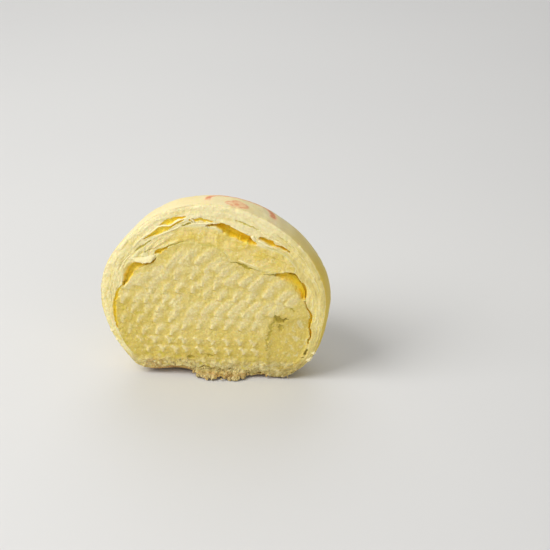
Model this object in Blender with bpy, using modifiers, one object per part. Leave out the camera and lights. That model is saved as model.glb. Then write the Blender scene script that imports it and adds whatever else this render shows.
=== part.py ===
"""One half of a round mung bean mooncake, cut through and stood on its flat base.

A turned bun of flaky pastry holds a crescent of soft inner dough and a core of
mung bean paste. Everything is modelled whole, as the bun is before it is cut,
and then one straight knife stroke takes the front half away, which leaves a low
lip of torn base crust at the foot of the cut.

Axes: +Z up, the cut face looks along -Y, +X is to the right of the cut face.
The origin is at the middle of the footprint, on the surface it rests on.
Metres throughout.
"""

import math

import bmesh
import bpy
from mathutils import Matrix, Vector

# ---------------------------------------------------------------- dimensions
BUN_RADIUS = 0.0355          # widest half width of the bun
BUN_HEIGHT = 0.0580
BELLY_HEIGHT = 0.0265        # height of the widest ring
BASE_RADIUS = 0.0205         # flat ring it rests on
CROWN_POWER = 1.88           # roundness of the dome, 2 is an ellipse
SKIRT_POWER_Z = 1.80         # roundness of the lower side
SKIRT_POWER_R = 1.50

PASTE_RADIUS = 0.0300        # mung bean paste
PASTE_BOTTOM = 0.0024
PASTE_BELLY = 0.0205
PASTE_TOP = 0.0450
PASTE_LEAN = -0.0040         # its crown sits left of the middle
PASTE_SHIFT = -0.0012        # and so does the whole core, a little

DOUGH_RADIUS = 0.0262        # soft inner dough, a crescent over the paste
DOUGH_CENTRE = 0.0340
DOUGH_BOTTOM = 0.0260        # hidden inside the paste, whose room cuts it off
DOUGH_TOP = 0.0503
DOUGH_LEAN = -0.0030
CAVITY = 0.0016              # air space over the dough

GAP = 0.0003                 # clearance between touching pieces
LEAN = -0.0018               # the whole crown leans a little to the left
PINCH = 0.060                # the knife draws the right rim in by this share
PINCH_DEPTH = 0.0042         # and fades out this far behind the cut
FULLNESS = 0.014             # the right side stands out by this share
FOOT_FULLNESS = 0.030        # and by this much more round the height below
FOOT_HEIGHT = 0.0070
FOOT_SPREAD = 0.0070

LIP_CENTRE = 0.0006          # torn base crust pushed out in front of the cut
LIP_HALF_WIDTH = 0.0080
LIP_REACH = 0.0036
LIP_HEIGHT = 0.0019

RIDGE_PITCH = 0.0041         # spacing of the slanting knife marks
RIDGE_DEPTH = 0.00045
ROW_HEIGHT = 0.0042          # height of one band of marks
ROW_DEPTH = 0.00055
RIDGE_SLANT = 0.0034         # how far a mark leans over one band
ROW_TILT = math.radians(-2.5)

TURN_STEPS = 44              # facets round the whole bun


# ------------------------------------------------------------------ profiles
def bun_profile(n_crown=12, n_skirt=9):
    """Radius and height from the crown down the outer side to the base centre."""
    points = []
    power = 2.0 / CROWN_POWER
    for i in range(n_crown + 1):
        a = (1.0 - i / n_crown) * math.pi / 2
        r = BUN_RADIUS * max(0.0, math.cos(a)) ** power
        z = BELLY_HEIGHT + (BUN_HEIGHT - BELLY_HEIGHT) * math.sin(a) ** power
        points.append((0.0 if i == 0 else r, z))
    for i in range(1, n_skirt + 1):
        z = BELLY_HEIGHT * (1.0 - math.sin(i / n_skirt * math.pi / 2))
        if i == n_skirt:
            z = 0.0
        s = 1.0 - z / BELLY_HEIGHT
        grow = max(0.0, 1.0 - s**SKIRT_POWER_Z) ** (1.0 / SKIRT_POWER_R)
        points.append((BASE_RADIUS + (BUN_RADIUS - BASE_RADIUS) * grow, z))
    points.append((0.0, 0.0))
    return points


def oval_profile(radius, bottom, belly, top, n=11, flat=2.0, low=2.6):
    """A squashed oval from its top, round its outer side, to its bottom."""
    points = []
    for i in range(n + 1):
        a = (1.0 - i / n) * math.pi / 2
        r = radius * max(0.0, math.cos(a)) ** (2.0 / flat)
        z = belly + (top - belly) * math.sin(a) ** (2.0 / flat)
        points.append((0.0 if i == 0 else r, z))
    for i in range(1, n + 1):
        a = i / n * math.pi / 2
        r = radius * max(0.0, math.cos(a)) ** (2.0 / low)
        z = belly - (belly - bottom) * math.sin(a) ** (2.0 / low)
        points.append((0.0 if i == n else r, z))
    return points


# -------------------------------------------------------------------- helpers
def collection(name):
    made = bpy.data.collections.new(name)
    bpy.context.scene.collection.children.link(made)
    return made


def material(name, colour, roughness):
    made = bpy.data.materials.new(name)
    made.use_nodes = True
    shader = made.node_tree.nodes["Principled BSDF"]
    shader.inputs["Base Color"].default_value = (*colour, 1.0)
    shader.inputs["Roughness"].default_value = roughness
    shader.inputs["Metallic"].default_value = 0.0
    return made


def turned(name, profile, into, lean, lean_from, lean_to, shift=0.0):
    """Turns a profile about the bun's axis, then lets it lean and be pinched."""
    mesh = bpy.data.meshes.new(name + "_outline")
    mesh.from_pydata(
        [(r, 0.0, z) for r, z in profile],
        [(i, i + 1) for i in range(len(profile) - 1)],
        [],
    )
    outline = bpy.data.objects.new(name + "_outline", mesh)
    into.objects.link(outline)
    screw = outline.modifiers.new("turn", "SCREW")
    screw.axis = "Z"
    screw.steps = screw.render_steps = TURN_STEPS
    screw.use_merge_vertices = True
    screw.merge_threshold = 0.00002
    screw.use_smooth_shade = True
    bpy.context.view_layer.update()
    graph = bpy.context.evaluated_depsgraph_get()
    solid = bpy.data.meshes.new_from_object(outline.evaluated_get(graph))
    bpy.data.objects.remove(outline)
    work = bmesh.new()
    work.from_mesh(solid)
    bmesh.ops.remove_doubles(work, verts=work.verts, dist=0.00002)
    bmesh.ops.recalc_face_normals(work, faces=work.faces)
    half_step = Matrix.Rotation(math.pi / TURN_STEPS, 3, "Z")
    bmesh.ops.rotate(work, cent=(0.0, 0.0, 0.0), matrix=half_step, verts=work.verts)
    for v in work.verts:
        v.co = settled(v.co, lean, lean_from, lean_to, shift)
    work.to_mesh(solid)
    work.free()
    made = bpy.data.objects.new(name, solid)
    into.objects.link(made)
    return made


def settled(p, lean, lean_from, lean_to, shift):
    """The soft bun's lean to the left, its fuller right side, and the pinch of
    its right rim at the cut."""
    t = min(1.0, max(0.0, (p.z - lean_from) / (lean_to - lean_from)))
    x = p.x + shift + lean * t * t
    right = min(1.0, max(0.0, x / BUN_RADIUS))
    right = right * right * (3.0 - 2.0 * right)
    foot = math.exp(-(((p.z - FOOT_HEIGHT) / FOOT_SPREAD) ** 2))
    fuller = FULLNESS + FOOT_FULLNESS * foot
    x *= 1.0 + right * (fuller - PINCH * math.exp(-abs(p.y) / PINCH_DEPTH))
    return Vector((x, p.y, p.z))


def cut(target, cutter):
    step = target.modifiers.new("cut_" + cutter.name, "BOOLEAN")
    step.operation = "DIFFERENCE"
    step.solver = "EXACT"
    step.object = cutter


def join(target, piece):
    step = target.modifiers.new("join_" + piece.name, "BOOLEAN")
    step.operation = "UNION"
    step.solver = "EXACT"
    step.object = piece


def as_cutter(obj):
    obj.hide_render = True
    obj.display_type = "WIRE"
    return obj


def knife_block(name, into):
    """The half space in front of the cut."""
    mesh = bpy.data.meshes.new(name)
    work = bmesh.new()
    bmesh.ops.create_cube(work, size=1.0)
    for v in work.verts:
        v.co = Vector((v.co.x * 0.10, v.co.y * 0.05 - 0.025, v.co.z * 0.10 + 0.028))
    work.to_mesh(mesh)
    work.free()
    made = bpy.data.objects.new(name, mesh)
    into.objects.link(made)
    return as_cutter(made)


def saw_block(name, into):
    """The same half space with the relief that a wavy blade leaves in the paste:
    level bands of slanting ridges, each band stepping out over the one below."""
    bands = 12
    ticks = 36
    mesh = bpy.data.meshes.new(name)
    work = bmesh.new()
    bmesh.ops.create_grid(
        work, x_segments=ticks, y_segments=2 * bands - 1, size=1.0
    )
    low = -0.003
    for v in work.verts:
        k = round((v.co.x + 1.0) / 2.0 * ticks)
        level = round((v.co.y + 1.0) / 2.0 * (2 * bands - 1))
        band, top = divmod(level, 2)
        edge = k in (0, ticks) or level in (0, 2 * bands - 1)
        x = (k - ticks / 2) * RIDGE_PITCH / 2
        if 0 < k < ticks:
            x += (RIDGE_SLANT if top else 0.0) - RIDGE_SLANT / 2
            x += (band % 3) * RIDGE_PITCH / 5
        z = low + band * ROW_HEIGHT + (ROW_HEIGHT - 0.0003 if top else 0.0)
        z += x * math.tan(ROW_TILT)
        y = 0.0
        if not edge:
            y = RIDGE_DEPTH * (k % 2) + ROW_DEPTH * top
        v.co = Vector((x, y, z))
    front = bmesh.ops.extrude_face_region(work, geom=work.faces[:])
    for item in front["geom"]:
        if isinstance(item, bmesh.types.BMVert):
            item.co.y = -0.045
    bmesh.ops.recalc_face_normals(work, faces=work.faces)
    work.to_mesh(mesh)
    work.free()
    made = bpy.data.objects.new(name, mesh)
    into.objects.link(made)
    return as_cutter(made)


def lip_dome(name, into, n=5):
    """The low heap of torn crust at the foot of the cut, a flattened dome."""
    profile = []
    for i in range(n + 1):
        a = (1.0 - i / n) * math.pi / 2
        r = LIP_HALF_WIDTH * max(0.0, math.cos(a))
        profile.append((0.0 if i == 0 else r, LIP_HEIGHT * math.sin(a)))
    profile.append((0.0, 0.0))
    made = turned(name, profile, into, 0.0, 0.0, BUN_HEIGHT)
    for v in made.data.vertices:
        v.co.x += LIP_CENTRE
        v.co.y *= LIP_REACH / LIP_HALF_WIDTH
    return as_cutter(made)


def solid_of(obj):
    """The object's cut solid as a plain mesh, welded."""
    bpy.context.view_layer.update()
    graph = bpy.context.evaluated_depsgraph_get()
    mesh = bpy.data.meshes.new_from_object(obj.evaluated_get(graph))
    work = bmesh.new()
    work.from_mesh(mesh)
    bmesh.ops.remove_doubles(work, verts=work.verts, dist=0.000002)
    loose = [e for e in work.edges if not e.link_faces]
    bmesh.ops.delete(work, geom=loose, context="EDGES")
    work.to_mesh(mesh)
    work.free()
    obj.modifiers.clear()
    obj.data = mesh


# ---------------------------------------------------------------------- build
def main():
    for obj in list(bpy.data.objects):
        bpy.data.objects.remove(obj)

    parts = collection("mung_bean_mooncake_half")
    cutters = collection("cutters")

    bun_lean = (LEAN, 0.0, BUN_HEIGHT)
    paste_lean = (PASTE_LEAN, PASTE_BELLY, PASTE_TOP, PASTE_SHIFT)
    dough_lean = (DOUGH_LEAN, PASTE_BELLY, DOUGH_TOP)

    shell = turned("flaky_pastry", bun_profile(), parts, *bun_lean)
    paste = turned(
        "mung_bean_paste",
        oval_profile(PASTE_RADIUS, PASTE_BOTTOM, PASTE_BELLY, PASTE_TOP),
        parts,
        *paste_lean,
    )
    dough = turned(
        "inner_dough",
        oval_profile(
            DOUGH_RADIUS, DOUGH_BOTTOM, DOUGH_CENTRE, DOUGH_TOP, n=10, low=2.0
        ),
        parts,
        *dough_lean,
    )

    paste_room = as_cutter(
        turned(
            "paste_room",
            oval_profile(
                PASTE_RADIUS + GAP,
                PASTE_BOTTOM - GAP,
                PASTE_BELLY,
                PASTE_TOP + GAP,
            ),
            cutters,
            *paste_lean,
        )
    )
    dough_room = as_cutter(
        turned(
            "dough_room",
            oval_profile(
                DOUGH_RADIUS + 0.0006,
                DOUGH_BOTTOM - 0.0006,
                DOUGH_CENTRE,
                DOUGH_TOP + CAVITY,
                n=10,
                low=2.0,
            ),
            cutters,
            *dough_lean,
        )
    )
    knife = knife_block("knife", cutters)
    saw = saw_block("saw", cutters)

    cut(shell, paste_room)
    cut(shell, dough_room)
    cut(shell, knife)
    join(shell, lip_dome("torn_lip", cutters))
    cut(dough, paste_room)
    cut(dough, knife)
    cut(paste, saw)

    shell.data.materials.append(material("flaky_pastry", (0.86, 0.75, 0.42), 0.75))
    dough.data.materials.append(material("inner_dough", (0.72, 0.55, 0.18), 0.55))
    paste.data.materials.append(material("mung_bean_paste", (0.72, 0.58, 0.22), 0.85))

    pieces = [shell, dough, paste]
    for obj in pieces:
        solid_of(obj)

    # Origin at the middle of the footprint, at the height of the base.
    low = Vector((1.0, 1.0, 1.0))
    high = -low
    for obj in pieces:
        for v in obj.data.vertices:
            low = Vector(map(min, low, v.co))
            high = Vector(map(max, high, v.co))
    shift = Vector((-(low.x + high.x) / 2, -(low.y + high.y) / 2, -low.z))
    for obj in pieces + list(cutters.objects):
        obj.location = shift
    for obj in pieces:
        obj.data.shade_smooth()
        obj.data.set_sharp_from_angle(angle=math.radians(35))


main()
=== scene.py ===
"""Looks of one half of a round mung bean mooncake, stood on its base.

Shapes are worked out in millimetres in the cake's own frame: the bun's axis is
x = 0, y = 0, the cut plane is y = 0 with the cake behind it, and z = 0 is the
surface it rests on. place() takes them to the row frame in metres.
"""

import math

import bmesh
import bpy
import numpy as np
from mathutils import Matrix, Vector


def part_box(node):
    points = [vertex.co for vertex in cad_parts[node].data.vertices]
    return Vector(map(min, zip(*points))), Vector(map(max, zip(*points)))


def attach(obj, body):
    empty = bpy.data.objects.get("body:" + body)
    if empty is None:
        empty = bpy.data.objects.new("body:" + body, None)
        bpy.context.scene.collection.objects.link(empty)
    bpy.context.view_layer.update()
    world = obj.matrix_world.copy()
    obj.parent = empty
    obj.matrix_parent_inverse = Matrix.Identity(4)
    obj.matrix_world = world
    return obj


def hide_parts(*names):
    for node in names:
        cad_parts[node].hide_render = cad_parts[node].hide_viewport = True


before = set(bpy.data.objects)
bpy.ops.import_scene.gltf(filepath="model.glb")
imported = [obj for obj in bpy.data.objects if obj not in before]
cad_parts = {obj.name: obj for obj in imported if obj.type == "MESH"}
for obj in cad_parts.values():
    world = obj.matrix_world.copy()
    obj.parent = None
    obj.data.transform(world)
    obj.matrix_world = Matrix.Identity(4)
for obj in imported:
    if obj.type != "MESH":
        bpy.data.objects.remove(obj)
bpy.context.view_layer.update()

# ------------------------------------------------------------------ the frame
BUN_RADIUS, BUN_HEIGHT, BELLY = 35.5, 58.0, 26.5
BASE_RADIUS = 20.5
CROWN_POWER, SKIRT_Z, SKIRT_R = 1.88, 1.80, 1.50
LEAN, PINCH, PINCH_DEPTH = -1.8, 0.060, 4.2
FULLNESS, FOOT_FULLNESS, FOOT_HEIGHT, FOOT_SPREAD = 0.014, 0.030, 7.0, 7.0
CENTRE = np.array([-1.0, 24.0])      # middle of the cut face, x and z

# The turned solid's leftmost facets lie this far left of the bun's axis.
LEFTMOST = BUN_RADIUS * math.cos(math.pi / 44) - LEAN * (BELLY / BUN_HEIGHT) ** 2
SHIFT_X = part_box("flaky_pastry")[0].x * 1000.0 + LEFTMOST
SHIFT_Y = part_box("inner_dough")[0].y * 1000.0


def place(points):
    """Cake frame in mm to the row frame in metres."""
    p = np.array(points, float)
    p[:, 0] += SHIFT_X
    p[:, 1] += SHIFT_Y
    return p / 1000.0


# ---------------------------------------------------------------------- noise
def smooth(t):
    t = np.clip(t, 0.0, 1.0)
    return t * t * (3.0 - 2.0 * t)


def grain(p, seed):
    """Smooth gradient noise from -1 to 1 at the points p, one cell per unit."""
    rng = np.random.default_rng(seed)
    perm = np.tile(rng.permutation(256), 3)
    grads = rng.normal(size=(256, 3))
    grads /= np.linalg.norm(grads, axis=1)[:, None]
    p = np.asarray(p, float)
    cell = np.floor(p).astype(int)
    f = p - cell
    u = f * f * f * (f * (f * 6.0 - 15.0) + 10.0)
    total = np.zeros(len(p))
    for dx in (0, 1):
        hx = perm[(cell[:, 0] + dx) & 255]
        wx = u[:, 0] if dx else 1.0 - u[:, 0]
        for dy in (0, 1):
            hy = perm[hx + ((cell[:, 1] + dy) & 255)]
            wy = wx * (u[:, 1] if dy else 1.0 - u[:, 1])
            for dz in (0, 1):
                g = grads[perm[hy + ((cell[:, 2] + dz) & 255)]]
                w = wy * (u[:, 2] if dz else 1.0 - u[:, 2])
                total += w * (
                    g[:, 0] * (f[:, 0] - dx)
                    + g[:, 1] * (f[:, 1] - dy)
                    + g[:, 2] * (f[:, 2] - dz)
                )
    return np.clip(total * 1.7, -1.0, 1.0)


def fractal(p, size, seed, octaves=3, gain=0.5):
    """Layered noise whose largest lumps are `size` mm across."""
    p = np.asarray(p, float) / size
    total, amp, norm = np.zeros(len(p)), 1.0, 0.0
    for i in range(octaves):
        total += amp * grain(p * 2.0**i + 17.3 * i, seed + i)
        norm += amp
        amp *= gain
    return total / norm


def xz(x, z, y=0.0):
    return np.stack([x, np.full(len(x), y), z], axis=1)


# -------------------------------------------------------------------- outlines
def bun_radius(z):
    """Half width of the bun at height z, before it leans."""
    z = np.asarray(z, float)
    up = np.clip((z - BELLY) / (BUN_HEIGHT - BELLY), 0.0, 1.0)
    crown = BUN_RADIUS * (1.0 - up**CROWN_POWER) ** (1.0 / CROWN_POWER)
    down = np.clip(1.0 - z / BELLY, 0.0, 1.0)
    skirt = BASE_RADIUS + (BUN_RADIUS - BASE_RADIUS) * (
        1.0 - down**SKIRT_Z
    ) ** (1.0 / SKIRT_R)
    return np.where(z >= BELLY, crown, skirt)


def settled(p):
    """The lean of the crown, the fuller right side, the pinch of the right rim
    at the cut, and a crown that swells a little just behind it."""
    p = p.copy()
    x = p[:, 0] + LEAN * np.clip(p[:, 2] / BUN_HEIGHT, 0.0, 1.0) ** 2
    right = smooth(np.clip(x / BUN_RADIUS, 0.0, 1.0))
    foot = np.exp(-(((p[:, 2] - FOOT_HEIGHT) / FOOT_SPREAD) ** 2))
    fuller = FULLNESS + FOOT_FULLNESS * foot
    p[:, 0] = x * (1.0 + right * (fuller - PINCH * np.exp(-np.abs(p[:, 1]) / PINCH_DEPTH)))
    swell = 0.70 * np.exp(-(((p[:, 1] - 8.0) / 5.0) ** 2))
    p[:, 2] += swell * np.clip((p[:, 2] - 44.0) / 8.0, 0.0, 1.0) * smooth(p[:, 1] / 4.0)
    return p


def bun_points(alpha, beta):
    """Points of the bun's outside, seen from the middle of its belly: alpha is
    the angle in the cut plane, beta how far the direction turns to the back."""
    d = np.stack(
        [
            np.cos(beta) * np.cos(alpha),
            np.sin(beta),
            np.cos(beta) * np.sin(alpha),
        ],
        axis=1,
    )
    near, far = np.zeros(len(d)), np.full(len(d), 60.0)
    for _ in range(34):
        mid = (near + far) / 2
        z = BELLY + mid * d[:, 2]
        inside = (
            (z >= 0)
            & (z <= BUN_HEIGHT)
            & (mid * np.hypot(d[:, 0], d[:, 1]) <= bun_radius(z))
        )
        near = np.where(inside, mid, near)
        far = np.where(inside, far, mid)
    p = d * near[:, None]
    p[:, 2] += BELLY
    return p


class Outline:
    """A closed or open curve round CENTRE, as a radius for each angle."""

    def __init__(self, points, blur=5):
        p = np.array(points, float) - CENTRE
        a = np.degrees(np.arctan2(p[:, 1], p[:, 0])) % 360.0
        r = np.hypot(p[:, 0], p[:, 1])
        order = np.argsort(a)
        a, r = a[order], r[order]
        grid = np.arange(0.0, 360.0, 0.5)
        values = np.interp(grid, a, r, period=360.0)
        for _ in range(blur):
            values = (np.roll(values, 3) + 2 * values + np.roll(values, -3)) / 4
        self.grid, self.values = grid, values

    def __call__(self, angle):
        return np.interp(np.degrees(angle) % 360.0, self.grid, self.values, period=360.0)


# Where the bean paste ends, going round from its left side over the top.
paste_edge = Outline(
    [
        (-31.6, 20.1), (-31.6, 25.2), (-30.0, 28.9), (-27.9, 31.6), (-24.7, 35.2),
        (-20.6, 37.6), (-18.4, 39.6), (-16.6, 41.9), (-13.1, 43.7), (-9.7, 45.0),
        (-4.6, 44.6), (-0.7, 44.0), (2.6, 42.4), (4.6, 39.7), (8.8, 38.2),
        (12.7, 37.0), (15.7, 36.0), (19.4, 36.0), (23.0, 35.2), (25.5, 32.7),
        (26.8, 28.0), (27.9, 24.0), (28.5, 20.0), (28.3, 15.0), (27.3, 9.6),
        (24.8, 5.2), (20.0, 3.4), (10.0, 3.0), (0.0, 3.0), (-10.0, 3.6),
        (-18.0, 3.6), (-24.4, 5.0), (-28.6, 9.8), (-30.7, 14.9),
    ]
)
DOUGH_LEFT, DOUGH_RIGHT = math.radians(145.5), math.radians(22.5)
dough_edge = Outline(
    [
        (-23.4, 39.4), (-21.6, 43.2), (-18.5, 46.5), (-14.0, 49.3), (-10.0, 50.4),
        (-6.0, 50.8), (-3.0, 50.6), (0.2, 50.0), (3.6, 48.4), (8.6, 46.2),
        (14.0, 44.6), (20.4, 42.6), (23.2, 39.8), (25.0, 36.9), (25.9, 35.1),
    ],
    blur=3,
)


def dough_share(angle):
    """0 outside the dough's crescent and 1 well inside it."""
    a = np.mod(angle + math.pi / 2, 2 * math.pi) - math.pi / 2
    return smooth((DOUGH_LEFT - a) / math.radians(9)) * smooth(
        (a - DOUGH_RIGHT) / math.radians(7)
    )


def core_radius(angle):
    """Outer edge of everything that the pastry wraps."""
    inner = paste_edge(angle)
    outer = np.maximum(dough_edge(angle), inner)
    return inner + (outer - inner) * dough_share(angle)


# ------------------------------------------------- gaps and cracks on the cut
def spline(points, per=5):
    """A smooth path through rows of numbers."""
    p = np.array(points, float)
    if len(p) < 3:
        t = np.linspace(0.0, 1.0, per + 1)[:, None]
        return p[0] + (p[1] - p[0]) * t
    q = np.vstack([2 * p[0] - p[1], p, 2 * p[-1] - p[-2]])
    out = []
    for i in range(1, len(q) - 2):
        for t in np.arange(per) / per:
            out.append(
                0.5
                * (
                    2 * q[i]
                    + (q[i + 1] - q[i - 1]) * t
                    + (2 * q[i - 1] - 5 * q[i] + 4 * q[i + 1] - q[i + 2]) * t * t
                    + (3 * q[i] - q[i - 1] - 3 * q[i + 1] + q[i + 2]) * t**3
                )
            )
    out.append(p[-1])
    return np.array(out)


def nearness(x, z, path):
    """Distance from a path over its half width there: under 1 is inside."""
    best = np.full(len(x), 1e9)
    for a, b in zip(path[:-1], path[1:]):
        dx, dz = b[0] - a[0], b[1] - a[1]
        length = dx * dx + dz * dz + 1e-9
        t = np.clip(((x - a[0]) * dx + (z - a[1]) * dz) / length, 0.0, 1.0)
        w = np.maximum(a[2] + (b[2] - a[2]) * t, 0.02)
        d = np.hypot(x - a[0] - t * dx, z - a[1] - t * dz) / w
        best = np.minimum(best, d)
    return best


# Each: rows of x, z and half width, then depth, a tint and the strength of painted shade.
# A tint from 0.7 up paints the glow of light shining through the pastry into the gap;
# a lower one paints greenish-yellow shade in it.
GAPS = {
    "upper_left_outer": (
        [(-16.6, 50.2, 0.12), (-14.8, 51.3, 0.62), (-12.6, 52.2, 0.72),
         (-10.6, 53.0, 0.42), (-8.8, 53.5, 0.15)], 0.85, 1.0, 0.0),
    "upper_left_inner": (
        [(-21.6, 46.0, 0.12), (-19.2, 47.3, 0.45), (-16.8, 48.7, 0.80),
         (-14.6, 49.7, 0.62), (-13.2, 50.3, 0.25)], 0.9, 1.0, 0.0),
    "upper_left_slit": (
        [(-13.4, 50.4, 0.18), (-11.6, 51.3, 0.34), (-9.4, 52.4, 0.16)], 0.7, 0.72, 0.0),
    "top_thin": (
        [(-7.6, 52.5, 0.3), (-4.6, 52.7, 0.45), (-1.0, 52.3, 0.2)], 0.8, 0.75, 0.0),
    "top_hole": (
        [(-9.8, 50.7, 0.2), (-8.2, 51.2, 0.30), (-6.9, 51.8, 0.22)], 0.7, 0.55, 0.12),
    "main": (
        [(-2.4, 50.9, 0.15), (0.2, 51.0, 0.45), (2.5, 50.5, 1.0), (4.5, 49.4, 1.3),
         (7.4, 47.9, 1.1), (10.3, 46.6, 0.95), (12.5, 45.3, 0.15)], 4.4, 1.0, 0.0),
    "right_small": (
        [(13.5, 47.4, 0.3), (15.3, 46.6, 0.65), (16.8, 45.8, 0.6),
         (18.0, 45.2, 0.25), (19.7, 44.6, 0.42), (22.0, 43.2, 0.12)], 2.8, 0.8, 0.0),
    "upper_groove": (
        [(6.2, 52.9, 0.10), (9.5, 51.6, 0.24), (12.8, 50.1, 0.10)], 0.4, 0.5, 0.0),
    "right_groove": (
        [(18.5, 48.6, 0.06), (21.6, 46.2, 0.16), (24.0, 43.4, 0.06)], 0.25, 0.35, 0.0),
    "dough_line": (
        [(13.2, 42.8, 0.06), (18.5, 40.7, 0.14), (21.4, 39.3, 0.06)], 0.3, 0.35, 0.0),
    "crack": (
        [(4.4, 39.1, 0.06), (6.5, 39.0, 0.14), (8.2, 38.3, 0.42), (9.6, 37.5, 0.32),
         (11.2, 37.1, 0.10), (13.6, 36.7, 0.06)], 0.9, 0.55, 0.40),
    "crack_end": (
        [(14.6, 35.7, 0.05), (16.6, 35.6, 0.14), (18.8, 35.8, 0.16)], 0.9, 0.55, 0.40),
    "right_amber": (
        [(18.4, 35.5, 0.2), (20.4, 35.3, 0.45), (22.2, 35.0, 0.7), (23.6, 34.2, 0.85),
         (25.0, 32.4, 0.8), (26.1, 30.4, 0.65), (26.3, 28.2, 0.35)], 2.2, 0.95, 0.26),
    "right_amber_rim": (
        [(18.4, 35.8, 0.16), (20.6, 35.9, 0.30), (22.4, 36.0, 0.36), (24.1, 35.4, 0.48),
         (24.6, 34.5, 0.38), (25.6, 33.0, 0.46), (26.8, 31.5, 0.48), (27.0, 29.6, 0.38),
         (27.1, 27.6, 0.14)], 2.8, 0.85, 0.45),
    "right_line": (
        [(26.9, 27.0, 0.12), (28.0, 24.2, 0.18), (28.9, 22.6, 0.36), (28.6, 20.2, 0.46),
         (28.4, 18.3, 0.26), (28.7, 16.4, 0.30), (28.0, 12.8, 0.14)], 2.0, 0.8, 0.12),
    "right_hole_a": ([(27.6, 10.2, 0.35), (27.2, 9.0, 0.42)], 1.6, 0.4, 0.5),
    "right_hole_b": ([(26.6, 8.0, 0.25), (26.2, 7.7, 0.25)], 1.3, 0.4, 0.4),
    "rough_pit": (
        [(17.9, 21.6, 0.35), (18.6, 20.7, 0.75), (20.0, 20.1, 0.45),
         (21.6, 20.7, 0.35)], 1.5, 0.45, 0.42),
    "rough_pit_low": (
        [(18.9, 18.6, 0.22), (19.6, 17.7, 0.40), (20.2, 16.9, 0.2)], 0.9, 0.35, 0.12),
    "rough_pit_high": ([(22.6, 24.6, 0.25), (23.7, 23.2, 0.30)], 0.6, 0.5, 0.0),
    "rough_crack": (
        [(17.7, 20.8, 0.30), (16.9, 18.4, 0.45), (16.2, 15.6, 0.46), (15.4, 12.2, 0.26),
         (15.3, 9.6, 0.12)], 0.6, 0.42, 0.0),
    "left_amber": (
        [(-28.4, 30.3, 0.2), (-26.9, 33.2, 0.6), (-25.7, 35.6, 0.8),
         (-24.2, 37.0, 0.6), (-21.6, 37.6, 0.32), (-19.4, 38.2, 0.25),
         (-18.2, 39.8, 0.12)], 2.2, 1.0, 0.38),
    "left_band": (
        [(-29.2, 30.0, 0.15), (-30.4, 28.0, 0.34), (-31.4, 25.1, 0.38),
         (-31.6, 21.7, 0.42), (-31.4, 18.9, 0.34), (-30.9, 15.6, 0.12)], 0.8, 0.72, 0.0),
    "spot": (
        [(-18.4, 41.2, 0.15), (-17.3, 41.9, 0.55), (-16.2, 42.6, 0.42),
         (-14.6, 43.4, 0.16)], 1.7, 0.8, 0.05),
    "boundary_left": (
        [(-15.2, 43.1, 0.14), (-13.2, 44.2, 0.24), (-11.0, 45.0, 0.20),
         (-9.2, 45.5, 0.10)], 0.45, 0.5, 0.0),
    "top_shade": (
        [(-5.0, 45.0, 0.20), (-2.8, 44.9, 0.55), (-0.9, 44.5, 0.45),
         (0.2, 44.1, 0.15)], 0.12, 0.34, 0.0),
    "left_slit_a": (
        [(-24.4, 41.8, 0.08), (-22.3, 43.3, 0.24), (-19.4, 45.4, 0.10)], 0.5, 0.6, 0.0),
    "left_slit_b": (
        [(-23.2, 40.9, 0.08), (-20.9, 42.0, 0.18), (-18.2, 43.2, 0.08)], 0.35, 0.5, 0.0),
    "left_slit_c": (
        [(-29.6, 36.4, 0.08), (-28.0, 38.6, 0.16), (-26.4, 40.6, 0.1)], 0.4, 0.3, 0.0),
    "low_hole_a": ([(-9.0, 6.6, 0.42), (-7.6, 6.4, 0.34)], 1.1, 0.35, 0.25),
    "low_hole_b": ([(-2.9, 7.2, 0.42), (-1.6, 7.0, 0.3)], 0.9, 0.35, 0.2),
    "low_hole_c": ([(12.4, 0.2, 0.5), (13.0, 1.6, 0.45)], 1.6, 0.1, 0.7),
    "lip_crack_a": ([(-5.6, 3.0, 0.10), (-3.8, 3.3, 0.24), (-2.2, 3.1, 0.10)], 0.9, 0.2, 0.5),
    "lip_crack_b": ([(3.0, 2.6, 0.10), (4.1, 3.0, 0.26), (5.4, 2.5, 0.10)], 0.9, 0.2, 0.45),
}
GAP_PATHS = {k: (spline(v[0]), *v[1:]) for k, v in GAPS.items()}


def shared(x, z):
    """Relief that runs on across the border from one material to the next."""
    return 0.17 * fractal(xz(x, z), 2.4, 401, 3, 0.55)


def carved(x, z, sloping=()):
    """Depth of the gaps at points of the cut face, with the painted glow of light shining
    through the pastry into the wide gaps, painted greenish-yellow shade in the small ones
    and painted brown shade in cracks and holes. The surface falls off gently into the gaps
    named in sloping, and the painted glow spreads wider round them."""
    p = xz(x, z)
    nx, nz = fractal(p, 1.7, 301, 4, 0.65), fractal(p, 1.7, 311, 4, 0.65)
    depth, painted_glow, shade_and_mottle, painted_shade = [np.zeros(len(x)) for _ in range(4)]
    for name, (path, deep, tint, shade) in GAP_PATHS.items():
        wander = 1.45 if name.startswith("rough") else 0.62
        d = nearness(x + wander * nx, z + wander * nz, path)
        wall = smooth((1.32 - d) / 0.75)
        if name in sloping:
            wall = smooth((3.0 - d) / 2.3) ** 1.5
            # Painted glow that spreads down the gentle slope into the gap.
            painted_glow = np.maximum(painted_glow, 0.62 * smooth((3.6 - d) / 3.0))
        depth = np.maximum(depth, deep * wall)
        if tint >= 0.7:
            # Painted glow in the wide gaps.
            painted_glow = np.maximum(painted_glow, tint * smooth((1.45 - d) / 0.55))
        else:
            # Painted greenish-yellow shade in the small gaps.
            shade_and_mottle = np.maximum(shade_and_mottle, min(1.0, 1.6 * tint) * smooth((1.75 - d) / 0.95))
        # Painted shade in cracks and holes, and the shadow line along the rim of the right-hand gap.
        painted_shade = np.maximum(painted_shade, shade * smooth((1.30 - d) / 0.60))
    return depth * 0.62, painted_glow, shade_and_mottle, painted_shade


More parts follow.
